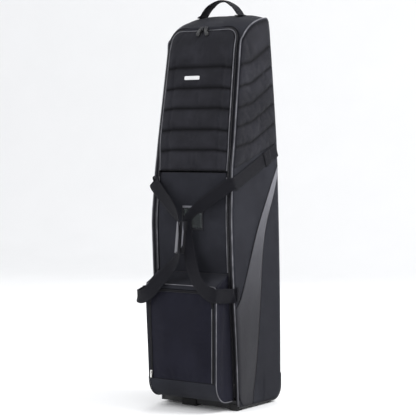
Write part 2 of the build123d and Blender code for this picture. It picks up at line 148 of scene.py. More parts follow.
# %% Builders
def add_piece(name, verts, faces, finish, smooth=True, lining=None, lined=(), merge=True):
    mesh = bpy.data.meshes.new(name)
    mesh.from_pydata([tuple(v) for v in verts], [], [tuple(f) for f in faces])
    if lining:
        mesh.materials.append(finish)
        for index in lined:
            mesh.polygons[index].material_index = 1
    clean = bmesh.new()
    clean.from_mesh(mesh)
    if merge:
        bmesh.ops.remove_doubles(clean, verts=clean.verts, dist=1e-6)
    bmesh.ops.recalc_face_normals(clean, faces=clean.faces)
    clean.to_mesh(mesh)
    clean.free()
    mesh.polygons.foreach_set("use_smooth", [smooth] * len(mesh.polygons))
    mesh.materials.append(lining if lining else finish)
    piece = bpy.data.objects.new(name, mesh)
    scene.collection.objects.link(piece)
    return piece


def grid_faces(rows, cols, start=0, closed_cols=False):
    faces = []
    for r in range(rows - 1):
        for c in range(cols if closed_cols else cols - 1):
            d = (c + 1) % cols
            faces.append((start + r * cols + c, start + r * cols + d,
                          start + (r + 1) * cols + d, start + (r + 1) * cols + c))
    return faces


def rim_of(rows, cols):
    """The grid's outline, in order."""
    bottom = [c for c in range(cols)]
    right = [r * cols + cols - 1 for r in range(1, rows)]
    top = [(rows - 1) * cols + c for c in range(cols - 2, -1, -1)]
    left = [r * cols for r in range(rows - 2, 0, -1)]
    return bottom + right + top + left


def cloth_sheet(name, grid, inward, thick, finish, lining=None, merge=True):
    """A closed sheet from a rows x cols grid of points; inward is a direction or one for each point."""
    rows, cols = grid.shape[:2]
    outer = grid.reshape(-1, 3)
    inner = outer + np.broadcast_to(np.asarray(inward, float), grid.shape).reshape(-1, 3) * thick
    count = rows * cols
    faces = grid_faces(rows, cols)
    lined = range(len(faces), 2 * len(faces))
    faces += [f[::-1] for f in grid_faces(rows, cols, count)]
    rim = rim_of(rows, cols)
    faces += [(a, b, count + b, count + a) for a, b in zip(rim, rim[1:] + rim[:1])]
    return add_piece(name, np.vstack([outer, inner]), faces, finish, lining=lining, lined=lined,
                     merge=merge)


def spline(points, steps=8, closed=False):
    """A smooth line through points, as a numpy array."""
    p = np.asarray(points, float)
    if closed:
        p = np.vstack([p[-1:], p, p[:2]])
    else:
        p = np.vstack([2 * p[:1] - p[1:2], p, 2 * p[-1:] - p[-2:-1]])
    out = []
    for a, b, c, d in zip(p, p[1:], p[2:], p[3:]):
        for t in np.arange(steps) / steps:
            out.append(0.5 * (2 * b + (c - a) * t + (2 * a - 5 * b + 4 * c - d) * t * t
                              + (3 * b - 3 * c + d - a) * t ** 3))
    if not closed:
        out.append(p[-2])
    return np.array(out)


def frames_along(line, closed=False):
    """Unit tangents of a line."""
    if closed:
        tangent = np.roll(line, -1, 0) - np.roll(line, 1, 0)
    else:
        tangent = np.gradient(line, axis=0)
    return tangent / np.linalg.norm(tangent, axis=1)[:, None]


def tube(name, line, radius, finish, sides=8, closed=False):
    """Round trim along a line."""
    tangent = frames_along(line, closed)
    normal = np.cross(tangent[0], (0.3, 0.5, 0.8))
    rings = []
    for point, along in zip(line, tangent):
        normal = normal - along * (normal @ along)
        normal /= np.linalg.norm(normal)
        side = np.cross(along, normal)
        angles = np.arange(sides) * 2 * math.pi / sides
        rings.append(point + radius * (np.cos(angles)[:, None] * normal + np.sin(angles)[:, None] * side))
    verts = np.vstack(rings)
    rows = len(line)
    faces = grid_faces(rows, sides, closed_cols=True)
    if closed:
        last = (rows - 1) * sides
        faces += [(last + c, last + (c + 1) % sides, (c + 1) % sides, c) for c in range(sides)]
    else:
        faces += [tuple(range(sides))[::-1], tuple((rows - 1) * sides + c for c in range(sides))]
    return add_piece(name, verts, faces, finish)


def strip(name, line, across, width, thick, finish, crown=0.0):
    """Flat webbing along a line. across is a direction, or one for each point, that it is wide in."""
    tangent = frames_along(line)
    across = np.broadcast_to(np.asarray(across, float), line.shape).copy()
    across -= tangent * np.sum(across * tangent, axis=1)[:, None]
    across /= np.linalg.norm(across, axis=1)[:, None]
    up = np.cross(tangent, across)
    width = np.broadcast_to(np.asarray(width, float), (len(line),))
    section = [(-0.5, 0.15), (-0.47, 0.5), (-0.25, 0.5 + crown), (0, 0.5 + crown), (0.25, 0.5 + crown),
               (0.47, 0.5), (0.5, 0.15), (0.5, -0.15), (0.47, -0.5), (0, -0.5), (-0.47, -0.5), (-0.5, -0.15)]
    rings = [p + across[i] * a * width[i] + up[i] * b * thick
             for i, p in enumerate(line) for a, b in section]
    sides = len(section)
    faces = grid_faces(len(line), sides, closed_cols=True)
    faces += [tuple(range(sides))[::-1], tuple((len(line) - 1) * sides + c for c in range(sides))]
    piece = add_piece(name, rings, faces, finish, merge=False)
    travelled = np.concatenate([[0], np.cumsum(np.linalg.norm(np.diff(line, axis=0), axis=1))])
    places = piece.data.uv_layers.new(name="strap").data
    for loop in piece.data.loops:
        row, column = divmod(loop.vertex_index, sides)
        places[loop.index].uv = (travelled[row], section[column][0] * width[row])
    return piece


def mirror_x(points):
    return np.asarray(points) * np.array([-1.0, 1.0, 1.0])


def ripple(points, scale, seed):
    """Soft cloth noise from -1 to 1 at each point."""
    shift = Vector((seed * 3.7, seed * 1.9, seed * 5.3))
    flat = points.reshape(-1, 3)
    found = [noise.noise(Vector(p) * scale + shift) for p in flat]
    return np.array(found).reshape(points.shape[:-1])


# %% [markdown]
# ## Shader sums in plain Python
# A finish is made from a few masks: threads, creases, dust. Writing each Math node by hand buries
# the idea, so a small class wraps a socket and lets the masks be written as sums. One method
# makes every other node.

# %% A socket that can be added and multiplied
class Wire:
    def __init__(self, shop, socket):
        self.shop, self.socket = shop, socket

    def maths(self, operation, *others):
        return self.shop.node("ShaderNodeMath", {"operation": operation},
                              {i: v for i, v in enumerate([self, *others])})

    def __add__(self, other): return self.maths("ADD", other)
    def __mul__(self, other): return self.maths("MULTIPLY", other)
    def __sub__(self, other): return self.maths("SUBTRACT", other)
    def __rsub__(self, other):
        return self.shop.node("ShaderNodeMath", {"operation": "SUBTRACT"}, {0: other, 1: self})
    __radd__, __rmul__ = __add__, __mul__

    def sine(self): return self.maths("SINE")
    def size(self): return self.maths("ABSOLUTE")
    def part(self): return self.maths("FRACT")

    def step(self, low, high):
        """0 below low and 1 above high, with a soft slope between."""
        return self.shop.node("ShaderNodeMapRange", {"interpolation_type": "SMOOTHSTEP"},
                              {"Value": self, "From Min": low, "From Max": high})


class Finish:
    """One material: its nodes, and short names for the patterns that cloth and plastic need."""

    def __init__(self, name, **constants):
        self.material = bpy.data.materials.new(name)
        self.material.use_nodes = True
        self.tree = self.material.node_tree
        self.shader = self.tree.nodes["Principled BSDF"]
        self.place = self.node("ShaderNodeTexCoord", output="Object")
        for socket, value in constants.items():
            self.shader.inputs[socket.replace("_", " ")].default_value = value

    def node(self, kind, settings=None, inputs=None, output=0):
        made = self.tree.nodes.new(kind)
        for key, value in (settings or {}).items():
            if key == "stops":
                for stop, (where, colour) in zip(made.color_ramp.elements, value):
                    stop.position, stop.color = where, colour
            else:
                setattr(made, key, value)
        for key, value in (inputs or {}).items():
            if isinstance(value, Wire):
                self.tree.links.new(value.socket, made.inputs[key])
            else:
                made.inputs[key].default_value = value
        return Wire(self, made.outputs[output])

    def noise(self, scale, detail=3.0, place=None):
        return self.node("ShaderNodeTexNoise", None,
                         {"Vector": place or self.place, "Scale": scale, "Detail": detail})

    def stretched(self, x, y, z, place=None):
        return self.node("ShaderNodeMapping", None,
                         {"Vector": place or self.place, "Scale": (x, y, z)})

    def axis(self, which, place=None):
        return self.node("ShaderNodeSeparateXYZ", None, {"Vector": place or self.place}, which)

    def blend_colours(self, mask, first, second):
        return self.node("ShaderNodeMix", {"data_type": "RGBA"},
                         {0: mask, 6: first, 7: second}, 2)

    def feed(self, socket, wire):
        self.tree.links.new(wire.socket, self.shader.inputs[socket])

    def bump(self, height, depth, strength=1.0):
        made = self.node("ShaderNodeBump", None,
                         {"Height": height, "Distance": depth, "Strength": strength})
        self.feed("Normal", made)


def colour(r, g, b):
    return (r, g, b, 1.0)


# %% [markdown]
# ## Cloth, webbing and zip finishes
# Luggage cloth is a coarse plain weave. Two sine waves across each other give the threads, and a
# slow noise varies how worn and dusty they are. Thread size stays true, about 1 mm, so that the
# cloth looks right in a close view. Trim and webbing reuse the same recipe with other numbers.

# %% Woven cloth
def weave(finish, pitch, place=None):
    """Height of a plain weave, 0 to 1, on Object coordinates."""
    turns = 2 * math.pi / pitch
    x = finish.axis("X", place) + finish.axis("Y", place)
    z = finish.axis("Z", place)
    warp = (x * turns).sine()
    weft = (z * turns).sine()
    return (warp * weft) * 0.5 + 0.5


def cloth(name, dark, light, pitch=0.0016, rough=0.86, sheen=0.03, depth=0.00035, sewn=False):
    made = Finish(name, Sheen_Weight=sheen, Sheen_Roughness=0.5, Specular_IOR_Level=0.06)
    threads = weave(made, pitch)
    slub = made.noise(900.0, 2.0)
    worn = made.noise(9.0, 5.0).step(0.35, 0.7)
    shade = threads * 0.45 + slub * 0.35 + worn * 0.3 - 0.05
    # Where sewn, a point attribute that is 1 on the quilting seams scales the colour down, and the dark end
    # is made darker: painted shade in the folds along the seams.
    if sewn:
        seam = made.node("ShaderNodeAttribute", {"attribute_name": "seam"}, output=2)
        shade = shade * (1.0 - seam * 0.95)
        dark = [0.3 * part for part in dark]
    made.feed("Base Color", made.blend_colours(shade, colour(*dark), colour(*light)))
    made.feed("Roughness", rough + worn * 0.08 - threads * 0.06)
    creases = made.noise(38.0, 4.0) * 1.6
    made.bump(threads + slub * 0.6 + creases, depth)
    return made.material


MAIN_CLOTH = cloth("main_cloth", (0.009, 0.0092, 0.0125), (0.032, 0.033, 0.041))
# The quilt cloth paints shade into its seams from that attribute.
QUILT_CLOTH = cloth("quilt_cloth", (0.011, 0.011, 0.0145), (0.038, 0.038, 0.047), rough=0.74, sewn=True)
SURROUND_CLOTH = cloth("surround_cloth", (0.005, 0.005, 0.007), (0.016, 0.016, 0.021))
BINDING = cloth("binding_tape", (0.10, 0.10, 0.115), (0.26, 0.26, 0.29), pitch=0.0012, rough=0.6)
POCKET_CLOTH = cloth("pocket_cloth", (0.005, 0.005, 0.009), (0.016, 0.016, 0.026), pitch=0.0009,
                     rough=0.72, depth=0.00018)
BINDING_DARK = cloth("dark_binding", (0.012, 0.012, 0.014), (0.036, 0.036, 0.042), pitch=0.0012, rough=0.6)
LINING = cloth("lining_cloth", (0.03, 0.03, 0.034), (0.075, 0.075, 0.082), pitch=0.0022)


# %% Satin accent
def satin():
    """Close-woven shiny cloth: long floats run up the case, so it is streaked that way."""
    made = Finish("satin_accent", Sheen_Weight=0.03, Sheen_Roughness=0.35, Specular_IOR_Level=0.14)
    floats = made.noise(1.0, 3.0, made.stretched(900.0, 900.0, 60.0))
    soft = made.noise(6.0, 4.0)
    # Painted shade: the step on height darkens the satin towards the bottom, nearly to the main cloth's
    # colour, and leaves it light at the top, as light from above falls on the side.
    high = made.axis("Z").step(0.10, 0.95)
    shade = (floats * 0.55 + soft * 0.5 - 0.05) * (0.05 + high * high * 0.95)
    made.feed("Base Color", made.blend_colours(shade, colour(0.009, 0.009, 0.012), colour(0.38, 0.38, 0.42)))
    made.feed("Roughness", 0.34 + soft * 0.16 + floats * 0.06)
    made.bump(floats + made.noise(26.0, 3.0) * 2.0, 0.0004)
    return made.material


ACCENT = satin()


# %% Webbing
def webbing(name, dark, light):
    """Ribbed webbing. Its UV map gives metres along and across the strap."""
    made = Finish(name, Sheen_Weight=0.02, Specular_IOR_Level=0.15)
    place = made.node("ShaderNodeUVMap", {"uv_map": "strap"})
    along, over = made.axis("X", place), made.axis("Y", place)
    cord = (over * (2 * math.pi / 0.0030)).sine().size()
    pick = (along * (2 * math.pi / 0.0018) + over * (math.pi / 0.0030)).sine() * 0.5 + 0.5
    fuzz = made.noise(700.0, 2.0)
    shade = cord * 0.35 + pick * 0.3 + fuzz * 0.35
    made.feed("Base Color", made.blend_colours(shade, colour(*dark), colour(*light)))
    made.feed("Roughness", 0.74 + fuzz * 0.14)
    made.bump(cord + pick * 0.8 + fuzz * 0.4, 0.0006)
    return made.material


WEBBING = webbing("webbing", (0.0025, 0.0025, 0.0040), (0.0100, 0.0100, 0.0150))


# %% Piping
def piping_finish(name, dark, light, rough=0.5):
    """Cord sewn inside a shiny bias strip: its cloth is wound on the slant."""
    made = Finish(name, Sheen_Weight=0.03, Specular_IOR_Level=0.15)
    x, y, z = (made.axis(a) for a in "XYZ")
    slant = ((x + y + z) * (2 * math.pi / 0.0024)).sine() * 0.5 + 0.5
    worn = made.noise(30.0, 4.0).step(0.3, 0.75)
    shade = slant * 0.3 + worn * 0.6
    made.feed("Base Color", made.blend_colours(shade, colour(*dark), colour(*light)))
    made.feed("Roughness", rough + worn * 0.2)
    made.bump(slant + made.noise(160.0, 3.0), 0.0003)
    return made.material


PIPING = piping_finish("piping", (0.065, 0.065, 0.074), (0.20, 0.20, 0.22))
DARK_PIPING = piping_finish("dark_piping", (0.008, 0.008, 0.010), (0.022, 0.022, 0.027))


# %% Zips
def tape_finish():
    made = Finish("zip_tape", Roughness=0.85, Specular_IOR_Level=0.06)
    ribs = (made.axis("Z") * (2 * math.pi / 0.0011)).sine() * 0.5 + 0.5
    across = ((made.axis("X") + made.axis("Y")) * (2 * math.pi / 0.0013)).sine() * 0.5 + 0.5
    mask = ribs * 0.4 + across * 0.3 + made.noise(500.0) * 0.3
    made.feed("Base Color", made.blend_colours(mask, colour(0.005, 0.005, 0.007),
                                               colour(0.015, 0.015, 0.019)))
    made.bump(ribs + across, 0.0003)
    return made.material


def nylon(name, dark, light):
    made = Finish(name, Specular_IOR_Level=0.25)
    wear = made.noise(220.0, 3.0)
    made.feed("Base Color", made.blend_colours(wear, colour(*dark), colour(*light)))
    made.feed("Roughness", 0.32 + wear * 0.2)
    return made.material


ZIP_TAPE = tape_finish()
COIL = nylon("zip_coil", (0.012, 0.012, 0.014), (0.04, 0.04, 0.045))
POCKET_COIL = nylon("pocket_zip_coil", (0.004, 0.004, 0.006), (0.014, 0.014, 0.018))
THREAD = nylon("thread", (0.010, 0.010, 0.012), (0.03, 0.03, 0.034))

# %% [markdown]
# ## Hard finishes
# The base, the wheel corners and the buckle are moulded plastic with a spark-eroded grain. Feet
# and tyres are duller and gather dust. Metal is either painted, plated or turned. Each gets its
# own grain and its own wear, because plain grey shapes read as toys.

# %% Plastic, rubber and metal
def moulded(name, dark, light, grain=900.0, rough=0.5, depth=0.00022):
    made = Finish(name)
    grit = made.node("ShaderNodeTexVoronoi", None, {"Vector": made.place, "Scale": grain})
    scuff = made.noise(14.0, 6.0).step(0.5, 0.72)
    made.feed("Base Color", made.blend_colours(grit * 0.4 + scuff * 0.7, colour(*dark), colour(*light)))
    made.feed("Roughness", rough + scuff * 0.18 + grit * 0.06)
    made.bump(grit + scuff * 0.2, depth)
    return made.material


def rubber(name, dark, light):
    made = Finish(name, Specular_IOR_Level=0.3)
    dust = made.noise(40.0, 6.0).step(0.42, 0.75)
    made.feed("Base Color", made.blend_colours(dust, colour(*dark), colour(*light)))
    made.feed("Roughness", 0.66 + dust * 0.25)
    made.bump(made.noise(320.0, 4.0) + dust * 0.3, 0.0004)
    return made.material


def metal(name, tint, rough, streak=(1.0, 1.0, 1.0), scale=400.0, amount=0.12, metallic=1.0):
    made = Finish(name, Metallic=metallic)
    lines = made.noise(scale, 3.0, made.stretched(*streak))
    smear = made.noise(60.0, 3.0)
    dark = colour(*(0.7 * t for t in tint))
    made.feed("Base Color", made.blend_colours(lines * 0.6 + smear * 0.3, dark, colour(*tint)))
    made.feed("Roughness", rough + lines * amount + smear * 0.06)
    made.bump(lines, 0.00008)
    return made.material


MOULDING = moulded("base_moulding", (0.005, 0.005, 0.006), (0.020, 0.020, 0.023))
BUCKLE = moulded("buckle_nylon", (0.010, 0.010, 0.011), (0.030, 0.030, 0.033), rough=0.38)
HUB = moulded("hub_nylon", (0.05, 0.05, 0.055), (0.10, 0.10, 0.11), rough=0.42)
SHEET = moulded("stiffener_sheet", (0.02, 0.02, 0.022), (0.05, 0.05, 0.054), grain=500.0, rough=0.55)
FOOT = rubber("foot_rubber", (0.006, 0.006, 0.007), (0.026, 0.025, 0.024))
TYRE = rubber("tyre_rubber", (0.012, 0.012, 0.013), (0.07, 0.066, 0.060))
SCREW = metal("zinc_screw", (0.55, 0.55, 0.58), 0.28)
AXLE_STEEL = metal("turned_axle", (0.60, 0.60, 0.62), 0.22, streak=(30.0, 1.0, 1.0))
BEARING = metal("bearing_steel", (0.72, 0.72, 0.74), 0.16, streak=(8.0, 1.0, 1.0), amount=0.06)
BLACK_METAL = metal("black_slider", (0.05, 0.05, 0.055), 0.3, scale=250.0, metallic=0.6)
NICKEL = metal("nickel_slider", (0.78, 0.77, 0.75), 0.2, scale=250.0, amount=0.08)


# %% Film, card, label and foam
def film():
    made = Finish("clear_film", IOR=1.45, Specular_IOR_Level=0.35)
    wave = made.noise(30.0, 3.0)
    made.feed("Base Color", made.blend_colours(wave, colour(0.035, 0.042, 0.044), colour(0.08, 0.088, 0.09)))
    made.feed("Alpha", 0.26 + wave * 0.12)
    made.feed("Roughness", 0.12 + wave * 0.1)
    made.bump(wave, 0.0004)
    return made.material


def paper():
    made = Finish("id_card")
    fibre = made.noise(300.0, 5.0)
    made.feed("Base Color", made.blend_colours(fibre, colour(0.024, 0.028, 0.030),
                                               colour(0.048, 0.053, 0.055)))
    made.feed("Roughness", 0.7 + fibre * 0.2)
    made.bump(fibre, 0.0001)
    return made.material


def foam():
    made = Finish("closed_cell_foam")
    cells = made.node("ShaderNodeTexVoronoi", None, {"Vector": made.place, "Scale": 420.0})
    made.feed("Base Color", made.blend_colours(cells, colour(0.06, 0.06, 0.065), colour(0.16, 0.16, 0.17)))
    made.feed("Roughness", 0.8 + cells * 0.15)
    made.bump(cells, 0.0006)
    return made.material


FILM, CARD, FOAM = film(), paper(), foam()
LABEL = cloth("woven_label", (0.55, 0.55, 0.56), (0.86, 0.86, 0.87), pitch=0.0007, depth=0.00015)
print("finishes", len(bpy.data.materials))

# %% [markdown]
# ## Camera, light and floor
# The case stands on a plain pale floor under large soft lamps, as in a catalogue. A long lens a
# few metres away keeps its tall sides straight. The camera comes first so that every later piece
# can be judged from the same place.

# %% Camera and studio
AZIMUTH, PITCH = 35.6, 2.42


def set_stage():
    lens = bpy.data.cameras.new("camera")
    lens.lens = 125.2
    camera = bpy.data.objects.new("camera", lens)
    camera.location = (2.897, -4.071, 0.890)
    camera.rotation_euler = (math.radians(90 - PITCH), 0, math.radians(AZIMUTH))
    scene.collection.objects.link(camera)
    scene.camera = camera

    for name, place, aim, size, power in (
            ("key", (-1.6, -3.0, 3.4), (0, 0, 0.9), 2.2, 50),
            ("side", (2.3, 0.9, 2.8), (0, 0, 1.1), 1.4, 85),
            ("front_fill", (1.6, -4.6, 1.2), (0, 0, 0.6), 2.6, 12),
            ("back_rim", (-1.2, 3.2, 2.6), (0, 0, 0.9), 2.0, 40)):
        lamp = bpy.data.lights.new(name, "AREA")
        lamp.size, lamp.energy = size, power
        holder = bpy.data.objects.new(name, lamp)
        holder.location = place
        holder.rotation_euler = (Vector(place) - Vector(aim)).to_track_quat("Z", "Y").to_euler()
        scene.collection.objects.link(holder)

    world = bpy.data.worlds.new("studio")
    world.use_nodes = True
    world.node_tree.nodes["Background"].inputs["Color"].default_value = colour(0.93, 0.94, 0.96)
    world.node_tree.nodes["Background"].inputs["Strength"].default_value = 1.0
    scene.world = world
    scene.view_settings.view_transform = "Standard"

    paper = Finish("pale_floor", Roughness=0.9)
    grain = paper.noise(3.0, 2.0)
    paper.feed("Base Color", paper.blend_colours(grain, colour(0.89, 0.89, 0.89), colour(0.92, 0.92, 0.92)))
    near, far, tall, turn = -9.0, 4.0, 6.0, 1.5
    outline = [(near, 0.0), (far, 0.0)]
    outline += [(far + turn * math.sin(a), turn - turn * math.cos(a)) for a in np.radians(range(10, 91, 10))]
    outline += [(far + turn, tall)]
    grid = [(x, y, z) for y, z in outline for x in np.linspace(-9, 9, 4)]
    floor = add_piece("floor", grid, grid_faces(len(outline), 4), paper.material)
    if floor.data.polygons[0].normal.z < 0:
        floor.data.flip_normals()


set_stage()

# %% [markdown]
# ## Where the front is
# The front bends at the knee: a plain lower cover leans out and a quilted flap leans back above
# it. Pieces on the front are placed by their height and by how far they stand out from the
# cloth, so one function turns (across, height, out) into a point.

# %% Points on the front, and the edges of the cover
def bulge(x, z):
    """The stuffed flap stands out above the knee and dies away towards the corner piping."""
    rise = ramp01(z, 0.82, 0.93) * (1 - ramp01(z, 1.21, 1.285))
    inward = np.clip((half_width(z) - PIPE_IN - np.abs(x)) / (26 * MM), 0, 1)
    return 11 * MM * rise * np.sin(inward * math.pi / 2)


def front_point(x, z, out=0.0):
    x, z, out = np.broadcast_arrays(np.asarray(x, float), np.asarray(z, float), np.asarray(out, float))
    out = out + bulge(x, z)
    slope = (front_y(z + MM) - front_y(z - MM)) / (2 * MM)
    size = np.sqrt(1 + slope ** 2)
    return np.stack([x, front_y(z) - out / size, z + out * slope / size], axis=-1)


EDGE = 20 * MM                                      # from the side of the case to the zip
EDGE_LESS = 4 * MM                                  # how much closer the zip is above the knee
PIPE_IN = 6 * MM                                    # from the side of the case to its corner trim
CORNER = 40 * MM                                    # radius of the zip's top corners
TRAY_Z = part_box("front_panel")[0][2]
COVER_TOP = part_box("cover_zip_upper")[1][2]
print("cover from", round(TRAY_Z, 4), "to", round(COVER_TOP, 4))


def cover_half(z, inset=0.0):
    """Half the cover's width at a height, with its round top corners."""
    straight_half = half_width(z) - EDGE + EDGE_LESS * ramp01(z, 0.80, 0.90) - inset
    radius, top = CORNER - inset, COVER_TOP - inset
    rise = np.clip((z - (top - radius)) / radius, 0, 1)
    return straight_half - radius * (1 - np.sqrt(np.maximum(1 - rise ** 2, 0)))


def cover_path(inset, low, high_count=10, step=0.02):
    """The cover's outline as (x, z), from low on the right, over the top, to low on the left."""
    radius, top = CORNER - inset, COVER_TOP - inset
    knee = top - radius
    side = [(cover_half(z, inset), z) for z in np.arange(low, knee, step)]
    middle = cover_half(knee, inset) - radius
    side += [(middle + radius * math.cos(a), knee + radius * math.sin(a))
             for a in np.linspace(0, math.pi / 2, high_count)]
    side += [(x, top) for x in np.linspace(middle, 0, 7)[1:-1]]
    right = np.array(side)
    return np.vstack([right, [(0, top)], right[::-1] * [-1, 1]])


# %% [markdown]
# ## Side walls
# Each side is one cut of cloth over foam, sewn to a piped edge all round. It wraps a little onto
# the front and onto the back, so its corners are round. A ruled grid from the front edge to the
# back edge gives that cut, and a slow ripple keeps it from looking like board.

# %% The piped top edge and the side walls
def smooth_lookup(points):
    """A smooth function through (position, value) pairs."""
    line = spline(points, 12)
    return lambda v: np.interp(v, line[:, 0], line[:, 1])


SIDE_TOP = smooth_lookup([(-0.046, 1.247), (-0.024, 1.274), (0.012, 1.302), (0.057, 1.321),
                          (0.104, 1.331), (0.120, 1.324), (0.127, 1.308)])
SIDE_FRONT_TOP, SIDE_BACK_TOP = 1.247, 1.308
HOUSING_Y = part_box("wheel_housing_right")[0][1]
HOUSING_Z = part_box("wheel_housing_right")[1][2]
WALL = 7 * MM
ROUND = 9 * MM
SKIRT_Z = 12 * MM                                   # the side cloth comes down over the base


def side_curves(count, low_front, low_back):
    """Rows of (y, z) on the side from its lower edge to its piped top edge."""
    rise = np.linspace(0, 1, count)[:, None]
    over = np.linspace(0, 1, 46)[None, :]
    z_front = low_front + (SIDE_FRONT_TOP - low_front) * rise
    z_back = low_back + (SIDE_BACK_TOP - low_back) * rise
    y_front, y_back = front_y(z_front), back_y(z_back)
    y = y_front + (y_back - y_front) * over
    z = z_front + (z_back - z_front) * over
    arch = SIDE_TOP(y) - (SIDE_FRONT_TOP + (SIDE_BACK_TOP - SIDE_FRONT_TOP) * over)
    return y, z + arch * rise ** 8


def side_wall():
    y, z = side_curves(90, SKIRT_Z, SKIRT_Z)
    x = half_width(z)
    near = np.clip(1 - (y - y[:, :1]) / ROUND, 0, 1)
    far = np.clip(1 - (y[:, -1:] - y) / ROUND, 0, 1)
    x = x - PIPE_IN * near ** 2 - ROUND * far ** 2
    grid = np.stack([x, y, z], axis=-1)
    folds = ripple(grid, 9.0, 3) * 2.2 + ripple(grid * [1, 1, 0.35], 26.0, 5) * 1.2
    middle = np.clip((y - y[:, :1]) / 0.04, 0, 1) * np.clip((y[:, -1:] - y) / 0.04, 0, 1)
    low_edge = np.clip((z - TRAY_Z) / 0.06, 0, 1)
    over_wheel = (y > HOUSING_Y - 4 * MM) & (z < HOUSING_Z + 4 * MM) | (z < TRAY_Z + 2 * MM)
    grid[..., 0] += np.where(over_wheel, 1.3 * MM, folds * MM * middle * low_edge - 0.6 * MM)
    inward = np.zeros(grid.shape)
    inward[..., 0] = np.where(over_wheel, -0.12, -1.0)
    return grid, inward


def both_sides(name, grid, inward, thick, finish, body, nodes, lining=None):
    made = []
    for side in ("right", "left"):
        points = grid if side == "right" else mirror_x(grid)
        into = np.asarray(inward) if side == "right" else mirror_x(inward)
        piece = cloth_sheet(f"{name}_{side}", points, into, thick, finish, lining)
        finish_piece(piece, body, [n.format(side) for n in nodes])
        made.append(piece)
    return made


def slacken(piece):
    """The left side is stuffed fuller than the right: its lower half bellies out."""
    coords = np.empty(len(piece.data.vertices) * 3)
    piece.data.vertices.foreach_get("co", coords)
    x, y, z = coords.reshape(-1, 3).T
    share = ramp01(z, 0.05, 0.45) * (1 - ramp01(z, 0.60, 0.88))
    coords[0::3] = x - 15 * MM * share * ramp01(-x, 0.02, 0.16) * (1 - ramp01(y, -0.06, 0.10))
    piece.data.vertices.foreach_set("co", coords)
    piece.data.update()


def finish_piece(piece, body, nodes=()):
    if body in ("root", "front_panel", "pocket_door", "upper_flap"):
        slacken(piece)
    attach(piece, body)
    if nodes:
        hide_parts(*nodes)
    return piece


SIDE_GRID, SIDE_INWARD = side_wall()
both_sides("side_wall", SIDE_GRID, SIDE_INWARD, WALL, MAIN_CLOTH, "root",
           ["side_panel_{}"], LINING)
print("side wall points", SIDE_GRID.shape)

# %% [markdown]
# ## Padding that swells between seams
# Quilting is foam trapped under cloth that is sewn down along lines. Drawn shapes never get the
# small puckers right, so the cloth is simulated: its seams and edges are pinned, the closed sheet
# is blown up a little, and the cloth is cut slightly too large so that it wrinkles. The result is
# then frozen into the mesh.

# %% Cloth simulation with pinned seams
def closed_pad(name, grid, inward, thick, finish, lining=None):
    return cloth_sheet(name, grid, inward, thick, finish, lining, merge=False)


def swell(piece, free, pressure, cap, spare, frames=20):
    """Blow up the free points of a closed pad, then keep the shape. cap limits the movement."""
    mesh = piece.data
    start = np.empty(len(mesh.vertices) * 3)
    mesh.vertices.foreach_get("co", start)
    start = start.reshape(-1, 3)
    pinned = [i for i in range(len(mesh.vertices)) if not free[i]]
    sewn = piece.vertex_groups.new(name="sewn")
    sewn.add(pinned, 1.0, "REPLACE")
    cloth_step = piece.modifiers.new("swell", "CLOTH")
    settings = cloth_step.settings
    settings.quality = 5
    settings.mass = 0.2
    settings.tension_stiffness = settings.compression_stiffness = 12
    settings.shear_stiffness = 5
    settings.bending_stiffness = 1.5
    settings.vertex_group_mass = "sewn"
    settings.use_pressure = True
    settings.uniform_pressure_force = pressure
    settings.shrink_min = -spare
    settings.effector_weights.gravity = 0
    cloth_step.collision_settings.use_collision = False
    cloth_step.point_cache.frame_start = 1
    cloth_step.point_cache.frame_end = frames
    for frame_number in range(1, frames + 1):
        scene.frame_set(frame_number)
    shaped = piece.evaluated_get(bpy.context.evaluated_depsgraph_get()).to_mesh()
    end = np.empty(len(shaped.vertices) * 3)
    shaped.vertices.foreach_get("co", end)
    piece.evaluated_get(bpy.context.evaluated_depsgraph_get()).to_mesh_clear()
    move = end.reshape(-1, 3) - start
    length = np.linalg.norm(move, axis=1)[:, None]
    move *= np.minimum(1, cap / np.maximum(length, 1e-9))
    piece.modifiers.remove(cloth_step)
    piece.vertex_groups.clear()
    scene.frame_set(1)
    mesh.vertices.foreach_set("co", (start + move).ravel())
    mesh.update()
    print("  swelled", piece.name, "by up to", round(float(length.max()) * 1000, 1), "mm")


def settle(piece, levels=1):
    """One subdivision, applied."""
    smooth = piece.modifiers.new("smooth", "SUBSURF")
    smooth.levels = smooth.render_levels = levels
    smooth.boundary_smooth = "PRESERVE_CORNERS"
    made = bpy.data.meshes.new_from_object(piece.evaluated_get(bpy.context.evaluated_depsgraph_get()))
    piece.modifiers.remove(smooth)
    old, piece.data = piece.data, made
    made.name = piece.name
    bpy.data.meshes.remove(old)
    piece.data.polygons.foreach_set("use_smooth", [True] * len(piece.data.polygons))


def pad(name, grid, outward, thick, finish, seams, body, nodes, pressure=4.0,
        cap=9 * MM, spare=0.009, lift=2.0 * MM, held=None, lining=None):
    """A sewn pad: seams is a mask of its sewn points, one for each point of the grid."""
    rows, cols = grid.shape[:2]
    edge = np.zeros((rows, cols), bool)
    edge[[0, -1], :] = edge[:, [0, -1]] = True
    sewn = edge | seams | (held if held is not None else False)
    outward = np.broadcast_to(np.asarray(outward, float), grid.shape)
    away = distance_from(sewn)
    start = grid + outward * (lift * np.clip(away / 4.0, 0, 1))[..., None]
    piece = closed_pad(name, start, -outward, thick, finish, lining)
    # The seam attribute is 1 on the seam rows and fades out over two grid steps. It places the quilt cloth's
    # painted shade in the seam folds.
    fold = np.zeros(2 * rows * cols, np.float32)
    fold[:rows * cols] = np.interp(distance_from(seams), (0, 1, 2), (1, 0.35, 0)).ravel()
    piece.data.attributes.new("seam", "FLOAT", "POINT").data.foreach_set("value", fold)
    free = np.concatenate([~sewn.ravel(), np.zeros(rows * cols, bool)])
    swell(piece, free, pressure, cap, spare)
    settle(piece)
    finish_piece(piece, body, nodes)
    return piece


